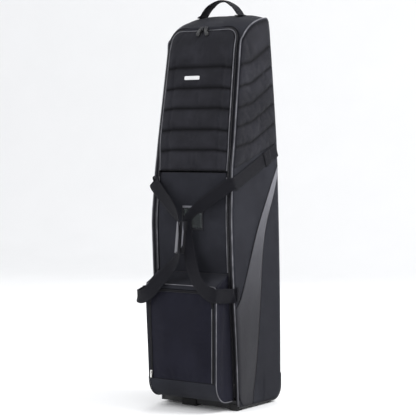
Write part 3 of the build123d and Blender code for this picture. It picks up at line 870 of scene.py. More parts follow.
def distance_from(mask, reach=12):
    """How many grid steps each point is from the mask, up to reach."""
    far = np.where(mask, 0.0, float(reach))
    for _ in range(reach):
        padded = np.pad(far, 1, constant_values=reach)
        near = np.minimum.reduce([padded[:-2, 1:-1], padded[2:, 1:-1], padded[1:-1, :-2], padded[1:-1, 2:]])
        far = np.minimum(far, near + 1)
    return far


def stack_rows(heights, counts):
    """Row positions with counts[i] steps between neighbouring heights, and the seam rows."""
    rows, seams = [heights[0]], [0]
    for low, high, count in zip(heights, heights[1:], counts):
        rows += list(np.linspace(low, high, count + 1)[1:])
        seams.append(len(rows) - 1)
    return np.array(rows), seams


# %% [markdown]
# ## The quilted flap
# The top half of the cover has five sewn channels over thick foam and a taller plain panel above
# them. The cloth is gathered near both ends of each channel, where a tuck runs up the flap. The
# seams are pinned rows of the grid, a little lower at the tucks than in the middle.

# %% Quilted flap
SEAM_Z = [0.8075, 0.879, 0.947, 1.019, 1.088, 1.159]
QUILT_IN = 8 * MM                                   # zip tape that shows beside the quilting
TUCK_X = 0.103


def quilted_flap():
    top = COVER_TOP - QUILT_IN
    arc_low = top - (CORNER - QUILT_IN)
    heights, seam_rows = stack_rows(SEAM_Z + [arc_low], [12] * 5 + [14])
    turn = np.linspace(0, math.pi / 2, 9)[1:]
    heights = np.concatenate([heights, arc_low + (top - arc_low) * np.sin(turn)])
    seam_rows = seam_rows[:6]
    over = np.linspace(-1, 1, 53)
    x = cover_half(heights, QUILT_IN)[:, None] * over[None, :]
    z = np.repeat(heights[:, None], 53, axis=1)
    sag = np.zeros(len(heights))
    sag[seam_rows[1:]] = 1
    near_seam = np.interp(np.arange(len(heights)), seam_rows, [0, 1, 1, 1, 1, 1])
    z = z - near_seam[:, None] * 5 * MM * ramp01(np.abs(x), 0.085, 0.135) * (heights < 1.2)[:, None]
    seams = np.zeros(x.shape, bool)
    seams[seam_rows] = True
    depth = np.full(x.shape, 3.5 * MM)
    depth[seam_rows] = -2.5 * MM
    tuck = np.exp(-((np.abs(x) - TUCK_X) / 0.006) ** 2)
    depth -= 2.4 * MM * tuck * (heights < SEAM_Z[-1] + 0.03)[:, None]
    grid = front_point(x, z, depth)
    outward = front_point(x, z, 1.0) - front_point(x, z, 0.0)
    return pad("quilted_flap", grid, outward, 9 * MM, QUILT_CLOTH, seams, "upper_flap",
               ["quilted_flap"], cap=8.5 * MM, lining=LINING)


FLAP = quilted_flap()

# %% [markdown]
# ## Side quilting
# The side channels run level from the front corner and then climb to the back, so the case looks
# as if it leans forward. Each seam is a line with one bend. The pad is a stack of bands between
# neighbouring seams.

# %% Side quilts
BEND_Y = -0.011
SIDE_SEAMS = [(0.815, 0.846, 0.905), (0.889, 0.904, 0.978), (0.955, 0.972, 1.046),
              (1.020, 1.033, 1.110), (1.090, 1.102, 1.172), (1.163, 1.172, 1.242)]


def side_quilts():
    cols = 40
    over = np.linspace(0, 1, cols)
    curves = []
    for front, bend, back in SIDE_SEAMS:
        y_front, y_back = front_y(front) + 5 * MM, back_y(back) - 5 * MM
        line = spline([(y_front, front), (BEND_Y - 0.03, bend - (bend - front) * 0.35),
                       (BEND_Y + 0.02, bend + (back - bend) * 0.10), (y_back, back)], 12)
        y = y_front + (y_back - y_front) * over
        curves.append(np.stack([y, np.interp(y, line[:, 0], line[:, 1])], axis=-1))
    y_front, y_back = front_y(SIDE_FRONT_TOP) + 5 * MM, back_y(SIDE_BACK_TOP) - 6 * MM
    y = y_front + (y_back - y_front) * over
    curves.append(np.stack([y, SIDE_TOP(y) - 5 * MM], axis=-1))
    rows, seam_rows = [curves[0]], [0]
    for low, high in zip(curves, curves[1:]):
        rows += [low + (high - low) * t for t in np.linspace(0, 1, 13)[1:]]
        seam_rows.append(len(rows) - 1)
    flat = np.array(rows)
    seams = np.zeros(flat.shape[:2], bool)
    seams[seam_rows] = True
    y, z = flat[..., 0], flat[..., 1]
    near = np.clip(1 - (y - y[:, :1]) / ROUND, 0, 1)
    far = np.clip(1 - (y[:, -1:] - y) / ROUND, 0, 1)
    depth = np.where(seams, 0.2 * MM, 3.0 * MM) - 2 * MM * near - 3 * MM * far
    grid = np.stack([half_width(z) + depth, y, z], axis=-1)
    for side, turn in (("right", 1), ("left", -1)):
        points = grid * [turn, 1, 1]
        pad(f"side_quilt_{side}", points, (turn, 0, 0), 5 * MM, QUILT_CLOTH, seams, "root",
            [f"side_quilt_{side}"], cap=6.5 * MM)


side_quilts()

# %% [markdown]
# ## Accent wedge
# A shiny grey wedge is let into each side. It starts as a point at the back seam, widens as it
# falls, and turns round the front corner at the base. Two edge lines are enough to describe it,
# and the cloth between them is ruled.

# %% Accent wedges and their edge trim
WEDGE_FRONT = [(0.170, 0.846), (0.132, 0.783), (0.093, 0.715), (0.035, 0.610), (-0.020, 0.481),
               (-0.050, 0.411), (-0.069, 0.372)]
WEDGE_BACK = [(0.173, 0.826), (0.134, 0.722), (0.094, 0.635), (0.075, 0.567), (0.063, 0.475),
              (0.058, 0.390), (0.046, 0.260), (0.030, 0.139), (0.011, 0.044), (0.006, 0.015)]



def even(line, count):
    """The same line with evenly spaced points."""
    line = np.asarray(line, float)
    length = np.concatenate([[0], np.cumsum(np.linalg.norm(np.diff(line, axis=0), axis=1))])
    want = np.linspace(0, length[-1], count)
    return np.stack([np.interp(want, length, line[:, k]) for k in range(line.shape[1])], axis=-1)


def side_x(y, z, out=0.0):
    """How far out the side is at a place, with its rounded front and back corners."""
    near = np.clip(1 - (y - front_y(z)) / ROUND, 0, 1)
    far = np.clip(1 - (back_y(z) - y) / ROUND, 0, 1)
    return half_width(z) - PIPE_IN * near ** 2 - ROUND * far ** 2 + out


def accent_wedges():
    count = 70
    front = spline(WEDGE_FRONT, 8)
    down = [(front_y(z) + 3 * MM, z) for z in np.linspace(0.345, 0.050, 14)]
    down += [(front_y(0.03) + turn * MM, z) for turn, z in ((6, 0.034), (14, 0.022), (28, 0.015))]
    front = even(np.vstack([front, down]), count)
    back = even(spline(WEDGE_BACK, 8), count)
    over = np.linspace(0, 1, 16)[None, :, None]
    flat = front[:, None, :] + (back - front)[:, None, :] * over
    y, z = flat[..., 0], flat[..., 1]
    x = side_x(y, z, 1.6 * MM) + 1.2 * MM * (1 - ramp01(z, 0.036, 0.050))
    grid = np.stack([x, y, z], axis=-1)
    inner = np.sin(np.pi * over[..., 0]) ** 0.6
    grid[..., 0] += (ripple(grid * [1, 1, 0.4], 20.0, 9) * 1.3 + 1.0) * MM * inner
    both_sides("side_accent", grid, (-1, 0, 0), 2.0 * MM, ACCENT, "root",
               ["side_accent_{}"])
    for label, edge in (("front", grid[:, 0]), ("back", grid[:, -1])):
        for side, turn in (("right", 1), ("left", -1)):
            line = even(edge * [turn, 1, 1] + [turn * 0.4 * MM, 0, 0], 60)
            trim = tube(f"accent_seam_{label}_{side}", line, 0.9 * MM, DARK_PIPING, 6)
            finish_piece(trim, "root")


accent_wedges()

# %% [markdown]
# ## Top cap, back and zip border
# The cap is crowned: it is highest along the middle and drops to the piped edge on each side. The
# back is one padded panel. A border of darker cloth runs between the zip and the corner piping
# all the way round the cover, so the cover's hole in the bag is as real as the cover.

# %% Top cap
CAP_FRONT_Y = -0.044


def crown_line():
    """The middle of the cap from the zip to the back, as (y, z)."""
    over = [(y, float(top_z(y))) for y in np.linspace(-0.036, 0.110, 18)]
    start = [(CAP_FRONT_Y, FRONT_TOP_Z - 6 * MM), (-0.040, FRONT_TOP_Z + 0.5 * MM)]
    end = [(0.119, 1.3375), (0.1245, 1.331), (0.1275, 1.3235), (float(back_y(1.314)), 1.314)]
    return even(spline(start + over + end, 4), 44)


def top_cap():
    line = crown_line()
    over = np.linspace(-1, 1, 41)
    y = np.repeat(line[:, :1], 41, axis=1)
    reach = half_width(SIDE_TOP(line[:, 0])) - 3.5 * MM
    reach[-4:] -= np.array([0.5, 2, 4, 6]) * MM
    drop = np.maximum(line[:, 1] - SIDE_TOP(line[:, 0]), 1 * MM)
    x = reach[:, None] * over
    full = 5 * MM * np.sin(np.linspace(0, np.pi, len(line)))[:, None]
    z = line[:, 1:] + full - (drop[:, None] + full) * np.abs(over) ** 3.8
    grid = np.stack([x, y, z], axis=-1)
    soft = ripple(grid, 14.0, 12) * 1.6 + ripple(grid, 34.0, 13) * 0.6
    inside = (1 - over ** 8)[None, :] * np.sin(np.linspace(0, np.pi, len(line)))[:, None] ** 0.5
    grid[..., 2] += (soft - 0.5) * MM * inside
    piece = cloth_sheet("top_cap", grid, (0, -0.15, -1), 5 * MM, MAIN_CLOTH, LINING)
    finish_piece(piece, "root", ["top_cap"])
    pad_grid = grid[3:-5, 3:-3] - [0, 0, 6.5 * MM]
    block = cloth_sheet("crown_foam", pad_grid, (0, 0, -1), 11 * MM, FOAM)
    finish_piece(block, "root", ["crown_foam"])
    return grid


CAP = top_cap()


# %% Back panel
BACK_FOOT, BACK_TOP = 0.036, 1.318                  # where its cloth starts and ends


def back_panel():
    rows, cols = 96, 49
    tall = BACK_TOP - BACK_FOOT
    over = np.linspace(-1, 1, cols)
    z = np.linspace(BACK_FOOT, BACK_TOP, rows)[:, None] + np.zeros((1, cols))
    housing = ramp01(np.abs(over), 0.66, 0.72)[None, :] * np.ones((rows, 1))
    z = BACK_TOP - (BACK_TOP - z) * (1 - housing * (HOUSING_Z - BACK_FOOT) / tall)
    x = (half_width(z) - ROUND + 2 * MM) * over
    grid = np.stack([x, back_y(z) + 0.4 * MM, z], axis=-1)
    seams = np.zeros(x.shape, bool)
    for line_z in (0.30, 0.52, 0.74, 0.96, 1.18):
        row = int(round((line_z - BACK_FOOT) / tall * (rows - 1)))
        seams[row, 8:-8] = True
    seams[8:-6, 8] = seams[8:-6, -9] = True
    lean = (back_y(z + MM) - back_y(z - MM)) / (2 * MM)
    outward = np.stack([0 * z, np.ones_like(z), -lean], axis=-1)
    outward /= np.linalg.norm(outward, axis=-1)[..., None]
    pad("back_panel", grid - outward * MM, outward, 7 * MM, MAIN_CLOTH, seams, "root",
        ["back_panel"], cap=4 * MM, spare=0.012, lift=0.5 * MM, pressure=3.0, lining=LINING)


back_panel()


# %% Zip border
def zip_border():
    low = TRAY_Z + 1 * MM
    inner = cover_path(-6.0 * MM, low, 12)
    outer = []
    turn_z = SIDE_FRONT_TOP
    for x, z in inner:
        side = 1 if x >= 0 else -1
        if z < COVER_TOP - CORNER:
            outer.append((side * (half_width(z) - PIPE_IN + 1 * MM), z))
        else:
            reach = half_width(turn_z) - 3.5 * MM
            share = abs(x) / (cover_half(COVER_TOP - CORNER, -6 * MM))
            spread = min(1.0, share * 1.12)
            rise = FRONT_TOP_Z - 4 * MM - (FRONT_TOP_Z - 2 * MM - turn_z) * spread ** 3.2
            outer.append((side * reach * spread, rise if spread < 1 else min(rise, z + 12 * MM)))
    inner, outer = np.array(inner), np.array(outer)
    over = np.linspace(0, 1, 6)[None, :, None]
    flat = inner[:, None, :] + (outer - inner)[:, None, :] * over
    sink = -1.0 * MM * np.sin(np.pi * over[..., 0]) - 0.4 * MM
    grid = front_point(flat[..., 0], flat[..., 1], sink)
    piece = cloth_sheet("zip_border", grid, (0, 1, 0), 8 * MM, SURROUND_CLOTH, LINING)
    finish_piece(piece, "root", ["zip_surround"])


zip_border()

# %% [markdown]
# ## Piping
# A cord in a bias strip stiffens each corner. It has a flat flange that is caught in the seam,
# and the flange shows as a second, softer line beside the cord. The corner trim runs from the
# base up the front corner, over the side of the cap and down the back.

# %% Corner and cover piping
def corner_trim():
    up = [(half_width(z) - PIPE_IN + 1.5 * MM, front_y(z) + 0.5 * MM, z)
          for z in np.arange(SKIRT_Z + 2 * MM, SIDE_FRONT_TOP - 0.02, 0.03)]
    over = [(half_width(SIDE_TOP(y)) - 2.5 * MM, y, float(SIDE_TOP(y)) + 0.8 * MM)
            for y in (-0.048, -0.036, -0.022, -0.004, 0.012, 0.034, 0.057, 0.08, 0.104, 0.116)]
    down = [(half_width(z) - 4.5 * MM, back_y(z) - 2.5 * MM, z)
            for z in np.arange(SIDE_BACK_TOP - 0.01, HOUSING_Z, -0.04)]
    line = even(spline(up + over + down, 5), 300)
    for side, turn in (("right", 1), ("left", -1)):
        route = line * [turn, 1, 1]
        cord = tube(f"corner_piping_{side}", route, 2.5 * MM, PIPING, 8)
        finish_piece(cord, "root", ["corner_piping"])
    flange = np.array([(half_width(z) - PIPE_IN - 2.6 * MM, front_y(z) - 0.7 * MM, z)
                       for z in np.arange(SKIRT_Z + 2 * MM, SIDE_FRONT_TOP - 0.01, 0.02)])
    for side, turn in (("right", 1), ("left", -1)):
        piece = strip(f"corner_flange_{side}", flange * [turn, 1, 1], (1, 0, 0), 5 * MM, 0.9 * MM,
                      DARK_PIPING)
        finish_piece(piece, "root")


corner_trim()

KNEE_GAP = 1.5 * MM
POCKET_TOP_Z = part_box("pocket_gusset")[1][2]


def cover_trim():
    outline = cover_path(5.0 * MM, KNEE_Z + 4 * MM, 12)
    cord = tube("cover_piping_upper", even(front_point(outline[:, 0], outline[:, 1], 1.4 * MM), 200),
                2.0 * MM, PIPING, 8)
    finish_piece(cord, "upper_flap", ["cover_piping_upper"])
    for side, turn in (("right", 1), ("left", -1)):
        z = np.arange(POCKET_TOP_Z + 4 * MM, KNEE_Z - 4 * MM, 0.02)
        route = front_point(turn * cover_half(z, 5.0 * MM), z, 1.2 * MM)
        piece = tube(f"cover_piping_{side}", route, 1.8 * MM, PIPING, 8)
        finish_piece(piece, "front_panel", ["cover_piping_lower"])


cover_trim()

# %% [markdown]
# ## Zip teeth and stitches
# A coil zip is hundreds of equal turns and a seam is hundreds of equal stitches, both spaced
# along a line. That is one Geometry Nodes tree: it walks a line, sets a small rod at every step,
# turns it to face outwards and makes the result real. Only the inputs differ.

# %% Rods along a line
def rods_tree():
    tree = bpy.data.node_groups.new("rods_along_a_line", "GeometryNodeTree")
    for name, kind, start in (("Line", "Geometry", None), ("Pitch", "Float", 0.002),
                              ("Length", "Float", 0.003), ("Radius", "Float", 0.0005),
                              ("Sides", "Int", 6), ("Lie", "Vector", (0, 0, 0)),
                              ("Shift", "Vector", (0, 0, 0)), ("Finish", "Material", None)):
        socket = tree.interface.new_socket(name, in_out="INPUT", socket_type="NodeSocket" + kind)
        if start is not None:
            socket.default_value = start
    tree.interface.new_socket("Geometry", in_out="OUTPUT", socket_type="NodeSocketGeometry")
    link = tree.links.new

    def make(kind, **settings):
        node = tree.nodes.new(kind)
        for key, value in settings.items():
            setattr(node, key, value)
        return node

    given, result = make("NodeGroupInput"), make("NodeGroupOutput")
    curve = make("GeometryNodeMeshToCurve")
    walk = make("GeometryNodeResampleCurve", mode="LENGTH")
    facing = make("GeometryNodeInputNamedAttribute", data_type="FLOAT_VECTOR")
    facing.inputs["Name"].default_value = "out"
    tangent = make("GeometryNodeInputTangent")
    up = make("FunctionNodeAlignRotationToVector", axis="Z")
    along = make("FunctionNodeAlignRotationToVector", axis="Y", pivot_axis="Z")
    rod = make("GeometryNodeMeshCylinder", fill_type="NGON")
    lie = make("GeometryNodeTransform")
    place = make("GeometryNodeInstanceOnPoints")
    real = make("GeometryNodeRealizeInstances")
    paint = make("GeometryNodeSetMaterial")
    link(given.outputs["Line"], curve.inputs["Mesh"])
    link(curve.outputs["Curve"], walk.inputs["Curve"])
    link(given.outputs["Pitch"], walk.inputs["Length"])
    link(facing.outputs["Attribute"], up.inputs["Vector"])
    link(up.outputs["Rotation"], along.inputs["Rotation"])
    link(tangent.outputs["Tangent"], along.inputs["Vector"])
    link(given.outputs["Sides"], rod.inputs["Vertices"])
    link(given.outputs["Radius"], rod.inputs["Radius"])
    link(given.outputs["Length"], rod.inputs["Depth"])
    link(rod.outputs["Mesh"], lie.inputs["Geometry"])
    link(given.outputs["Lie"], lie.inputs["Rotation"])
    link(given.outputs["Shift"], lie.inputs["Translation"])
    link(walk.outputs["Curve"], place.inputs["Points"])
    link(lie.outputs["Geometry"], place.inputs["Instance"])
    link(along.outputs["Rotation"], place.inputs["Rotation"])
    link(place.outputs["Instances"], real.inputs["Geometry"])
    link(real.outputs["Geometry"], paint.inputs["Geometry"])
    link(given.outputs["Finish"], paint.inputs["Material"])
    link(paint.outputs["Geometry"], result.inputs["Geometry"])
    return tree


RODS = rods_tree()
ACROSS, LENGTHWISE = (0, math.pi / 2, 0), (math.pi / 2, 0, 0)


def rods(name, lines, outs, body, slot, finish, pitch, length, radius, lie, shift=(0, 0, 0), sides=6):
    """Small rods along one or more lines. outs gives the way that each point of a line faces."""
    mesh = bpy.data.meshes.new(name)
    verts, edges, facing = [], [], []
    for line, out in zip(lines, outs):
        start = len(verts)
        verts += [tuple(p) for p in line]
        edges += [(start + i, start + i + 1) for i in range(len(line) - 1)]
        facing += [tuple(v) for v in np.broadcast_to(np.asarray(out, float), np.shape(line))]
    mesh.from_pydata(verts, edges, [])
    mesh.attributes.new("out", "FLOAT_VECTOR", "POINT").data.foreach_set("vector", np.ravel(facing))
    piece = bpy.data.objects.new(name, mesh)
    scene.collection.objects.link(piece)
    step = piece.modifiers.new("rods", "NODES")
    step.node_group = RODS
    values = {"Pitch": pitch, "Length": length, "Radius": radius, "Sides": sides, "Lie": lie,
              "Shift": shift, "Finish": finish}
    for socket in RODS.interface.items_tree:
        if socket.name in values:
            step[socket.identifier] = values[socket.name]
    real = bpy.data.meshes.new_from_object(piece.evaluated_get(bpy.context.evaluated_depsgraph_get()))
    piece.modifiers.remove(step)
    piece.data = real
    real.name = name
    finish_piece(piece, body)
    return piece


def front_out(points):
    """The way the front faces at points on it."""
    return front_point(points[:, 0], points[:, 2], 1.0) - front_point(points[:, 0], points[:, 2], 0.0)


# %% The main zip
def main_zip():
    tape_in, tape_out = 9 * MM, -7 * MM
    top = cover_path(0.0, KNEE_Z + KNEE_GAP, 14, 0.01)
    low_z = np.arange(TRAY_Z + 6 * MM, KNEE_Z - KNEE_GAP, 0.02)
    parts = [("upper", "upper_flap", "cover_zip_upper", [top])]
    sides = [np.stack([s * cover_half(low_z), low_z], axis=-1) for s in (1, -1)]
    parts.append(("lower", "front_panel", "cover_zip_lower", sides))
    for label, body, node, lines in parts:
        for number, line in enumerate(lines):
            turn = 1 if label == "upper" or number == 0 else -1
            inner_z = line[:, 1]
            if label == "upper":
                inner = cover_path(tape_in, KNEE_Z + KNEE_GAP, 14, 0.01)
                inner = even(inner, len(line))
            else:
                inner = np.stack([turn * cover_half(inner_z, tape_in), inner_z], axis=-1)
            over = np.linspace(0, 1, 4)[None, :, None]
            edge = line + (inner - line) * 0.06
            flat = edge[:, None] + (inner - edge)[:, None] * over
            grid = front_point(flat[..., 0], flat[..., 1], -0.9 * MM)
            tape = cloth_sheet(f"cover_tape_{label}_{number}", grid, (0, 1, 0), 1.2 * MM, ZIP_TAPE)
            finish_piece(tape, body, [node])
    body_line = cover_path(0.0, TRAY_Z + 8 * MM, 14, 0.01)
    outer = even(cover_path(tape_out, TRAY_Z + 8 * MM, 14, 0.01), len(body_line))
    over = np.linspace(0.06, 1, 4)[None, :, None]
    flat = body_line[:, None] + (outer - body_line)[:, None] * over
    grid = front_point(flat[..., 0], flat[..., 1], -0.9 * MM)
    finish_piece(cloth_sheet("body_tape", grid, (0, 1, 0), 1.2 * MM, ZIP_TAPE), "root")

    def on_front(line, out):
        return front_point(line[:, 0], line[:, 1], out)

    coil = dict(pitch=2.4 * MM, length=3.2 * MM, radius=0.75 * MM, lie=ACROSS)
    shift = 1.2 * MM
    routes = [(f"coil_upper", "upper_flap", [top], -shift), ("coil_body", "root", [body_line], shift)]
    routes += [("coil_lower_right", "front_panel", [sides[0]], -shift),
               ("coil_lower_left", "front_panel", [sides[1]], shift)]
    for name, body, lines, move in routes:
        points = [on_front(line, 0.2 * MM) for line in lines]
        rods(name, points, [front_out(p) for p in points], body, "zip_tape", COIL,
             shift=(move, (0.6 if body == "root" else -0.6) * MM, 0), **coil)


main_zip()

# %% [markdown]
# ## Lower cover and card pocket
# Below the knee the cover is one plain padded panel. A small card pocket is sewn on its middle:
# a bound frame, a clear window and a blank card. The padding is held flat under the pocket, where
# its stitching goes through.

# %% Lower cover
def lower_cover():
    z = np.linspace(TRAY_Z + 10 * MM, KNEE_Z - 1.0 * MM, 96)[:, None]
    x = cover_half(z, QUILT_IN) * np.linspace(-1, 1, 41)[None, :]
    z = z + 0 * x
    flat = (np.abs(x) < 0.050) & (z > 0.598) & (z < 0.702)
    behind_pocket = z < POCKET_TOP_Z + 6 * MM
    grid = front_point(x, z, -1.2 * MM)
    outward = front_point(x, z, 1.0) - front_point(x, z, 0.0)
    pad("lower_cover", grid, outward, 7 * MM, MAIN_CLOTH, np.zeros(x.shape, bool), "front_panel",
        ["front_panel"], cap=2.6 * MM, spare=0.004, lift=0.4 * MM, pressure=1.2,
        held=flat | behind_pocket, lining=LINING)


lower_cover()


# %% Card pocket
def card_pocket():
    low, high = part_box("id_frame")
    centre_z, half, tall = (low[2] + high[2]) / 2, (high[0] - low[0]) / 2, (high[2] - low[2]) / 2
    inner = 7 * MM
    corners = [(-half, -tall), (half, -tall), (half, tall), (-half, tall)]
    hole = [(x - math.copysign(inner, x), z - math.copysign(inner, z)) for x, z in corners]
    rings = []
    for t in np.linspace(0, 1, 5):
        ring = []
        for (ax, az), (bx, bz), (cx, cz), (dx, dz) in zip(corners, corners[1:] + corners[:1],
                                                          hole, hole[1:] + hole[:1]):
            for s in np.linspace(0, 1, 10)[:-1]:
                px, pz = ax + (bx - ax) * s, az + (bz - az) * s
                qx, qz = cx + (dx - cx) * s, cz + (dz - cz) * s
                ring.append((px + (qx - px) * t, pz + (qz - pz) * t))
        rings.append(ring)
    flat = np.array(rings)
    height = 0.9 * MM + 1.3 * MM * np.sin(np.pi * np.linspace(0, 1, 5))[:, None]
    outer = front_point(flat[..., 0], centre_z + flat[..., 1], height + 0 * flat[..., 0])
    under = front_point(flat[..., 0], centre_z + flat[..., 1], 0.1 * MM + 0 * flat[..., 0])
    rows, cols = flat.shape[:2]
    verts = np.vstack([outer.reshape(-1, 3), under.reshape(-1, 3)])
    faces = grid_faces(rows, cols, closed_cols=True)
    faces += [f[::-1] for f in grid_faces(rows, cols, rows * cols, closed_cols=True)]
    for row in (0, rows - 1):
        for c in range(cols):
            d = (c + 1) % cols
            a, b = row * cols + c, row * cols + d
            faces.append((a, b, rows * cols + b, rows * cols + a))
    frame_piece = add_piece("card_frame", verts, faces, BINDING_DARK)
    finish_piece(frame_piece, "front_panel", ["id_frame"])

    def sheet_between(name, inset, out, thick, finish, node, bow=0.0):
        x = np.linspace(-half + inset, half - inset, 15)[None, :] + np.zeros((13, 1))
        z = np.linspace(-tall + inset, tall - inset, 13)[:, None] + np.zeros((1, 15))
        bulge = bow * np.cos(np.pi * x / (2 * half)) * np.cos(np.pi * z / (2 * tall))
        grid = front_point(x, centre_z + z, out + bulge)
        finish_piece(cloth_sheet(name, grid, (0, 1, 0), thick, finish), "front_panel", [node])

    sheet_between("card_window", inner - 2 * MM, 1.2 * MM, 0.3 * MM, FILM, "id_window",
                  0.8 * MM)
    sheet_between("card_blank", inner + 2 * MM, 0.65 * MM, 0.4 * MM, CARD, "id_card")
    top = np.stack([np.linspace(-half + 3 * MM, half - 3 * MM, 12), np.full(12, tall - 3.5 * MM)], -1)
    hem = front_point(top[:, 0], centre_z + top[:, 1], 2.0 * MM)
    finish_piece(strip("card_hem", hem, (0, 0, 1), 7 * MM, 1.0 * MM, BINDING), "front_panel")


card_pocket()


# %% Blank label
def label():
    low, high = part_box("blank_label")
    corner = 3.5 * MM
    x_mid, half = (low[0] + high[0]) / 2, (high[0] - low[0]) / 2
    z_mid, tall = (low[2] + high[2]) / 2, (high[2] - low[2]) / 2
    over = np.linspace(-1, 1, 19)
    x = half * over[None, :] + np.zeros((7, 1))
    ends = np.sqrt(np.maximum(1 - np.clip((np.abs(x) - half + corner) / corner, 0, 1) ** 2, 0.08))
    z = np.linspace(-1, 1, 7)[:, None] * tall * (1 - 0.35 * (1 - ends))
    flap = BVHTree.FromPolygons([v.co.copy() for v in FLAP.data.vertices],
                                [list(p.vertices) for p in FLAP.data.polygons])
    y = np.array([[flap.ray_cast(Vector((a, -1, b)), Vector((0, 1, 0)))[0].y - 1.4 * MM
                   for a, b in zip(row_x, row_z)] for row_x, row_z in zip(x_mid + x, z_mid + z)])
    grid = np.stack([x_mid + x, y, z_mid + z], axis=-1)
    finish_piece(cloth_sheet("blank_label", grid, (0, 1, 0), 1.2 * MM, LABEL), "upper_flap",
                 ["blank_label"])


label()

# %% [markdown]
# ## Shoe pocket
# The pocket is a gusset: side walls, a sloping top and a rounded foot, with a zipped door in
# front. The gusset has no foam, so it sags and folds. The door is a flat padded panel that hinges
# at its bottom hem, and its zip runs up one side, over the top and down the other.

# %% Pocket measures
G_LOW, G_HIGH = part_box("pocket_gusset")
P_HALF, P_FRONT, P_BOTTOM = G_HIGH[0], G_LOW[1], G_LOW[2] - 12 * MM
D_LOW, D_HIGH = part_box("pocket_door")
D_HALF, D_BOTTOM, D_TOP = D_HIGH[0], D_LOW[2], D_HIGH[2]
EDGE_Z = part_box("pocket_edge_trim")[0][2] + 2 * MM
DOOR_ROUND = 52 * MM
FOOT_DEEP, FOOT_TALL = 62 * MM, 66 * MM             # the rounded foot of the pocket
print("pocket", round(P_HALF, 4), round(P_FRONT, 4), round(EDGE_Z, 4), "door", round(D_TOP, 4))


def door_path(inset, low=None, count=12):
    """The door's outline as (x, z): up the right, over the top, down the left."""
    low = D_BOTTOM if low is None else low
    half, top, radius = D_HALF - inset, D_TOP - inset, DOOR_ROUND - inset
    side = [(half, z) for z in np.linspace(low, top - radius, 24)[:-1]]
    side += [(half - radius + radius * math.cos(a), top - radius + radius * math.sin(a))
             for a in np.linspace(0, math.pi / 2, count)]
    side += [(x, top) for x in np.linspace(half - radius, 0, 7)[1:-1]]
    right = np.array(side)
    return np.vstack([right, [(0, top)], right[::-1] * [-1, 1]])


def pocket_side():
    """Gusset side wall, from the cover to the pocket's front corner."""
    rows, cols = 60, 22
    rise = np.linspace(0, 1, rows)[:, None]
    over = np.linspace(0, 1, cols)[None, :]
    z_back = P_BOTTOM + (POCKET_TOP_Z - 2 * MM - P_BOTTOM) * rise
    z_front = P_BOTTOM + (EDGE_Z - P_BOTTOM) * rise
    z = z_back + (z_front - z_back) * over
    y_back = front_y(z) - 0.6 * MM
    foot = np.clip(1 - (z_front - P_BOTTOM) / FOOT_TALL, 0, 1)
    y_front = P_FRONT + FOOT_DEEP * (1 - np.sqrt(np.maximum(1 - foot ** 2, 0)))
    y = y_back + (y_front - y_back) * over
    grid = np.stack([np.full(y.shape, P_HALF), y, z], axis=-1)
    belly = np.sin(np.pi * over) * np.sin(np.pi * np.clip(rise, 0.03, 0.97)) ** 0.4
    folds = np.sin(over * 9.0 + rise * 4.0) * 1.6 + ripple(grid * [1, 1, 0.22], 42.0, 21) * 2.6
    grid[..., 0] += (folds - 3.2) * MM * belly
    corner = np.clip((over - 0.90) / 0.10, 0, 1)
    grid[..., 0] -= 2.0 * MM * corner ** 2
    return grid


for side, turn in (("right", 1), ("left", -1)):
    wall = cloth_sheet(f"pocket_side_{side}", pocket_side() * [turn, 1, 1], (-turn, 0, 0), 2.2 * MM,
                       POCKET_CLOTH, LINING)
    finish_piece(wall, "front_panel", ["pocket_gusset"])


# %% Pocket top and front border
def pocket_top():
    rows, cols = 16, 49
    over = np.linspace(-1, 1, cols)[None, :]
    back = np.linspace(0, 1, rows)[:, None]
    y_back = front_y(POCKET_TOP_Z) - 0.5 * MM
    y = P_FRONT + 1 * MM + (y_back - P_FRONT) * back + 0 * over
    z = EDGE_Z + (POCKET_TOP_Z - EDGE_Z) * back + 0 * over
    x = (P_HALF - 0.5 * MM) * over + 0 * back
    grid = np.stack([x, y, z], axis=-1)
    belly = np.sin(np.pi * back) * (1 - over ** 4)
    grid[..., 2] += (ripple(grid, 22.0, 31) * 2.6 - 3.5) * MM * belly
    grid[..., 2] -= 5 * MM * ramp01(np.abs(over), 0.86, 1.0) * (1 - back)
    piece = cloth_sheet("pocket_top", grid, (0, 0.4, -0.9), 2.2 * MM, MAIN_CLOTH, LINING)
    finish_piece(piece, "front_panel")


def foot_arc(count=12):
    """The foot's profile as (y, z), from underneath to the front."""
    return [(P_FRONT + FOOT_DEEP * (1 - math.sin(a)), P_BOTTOM + FOOT_TALL * (1 - math.cos(a)))
            for a in np.linspace(0, math.pi / 2, count)]


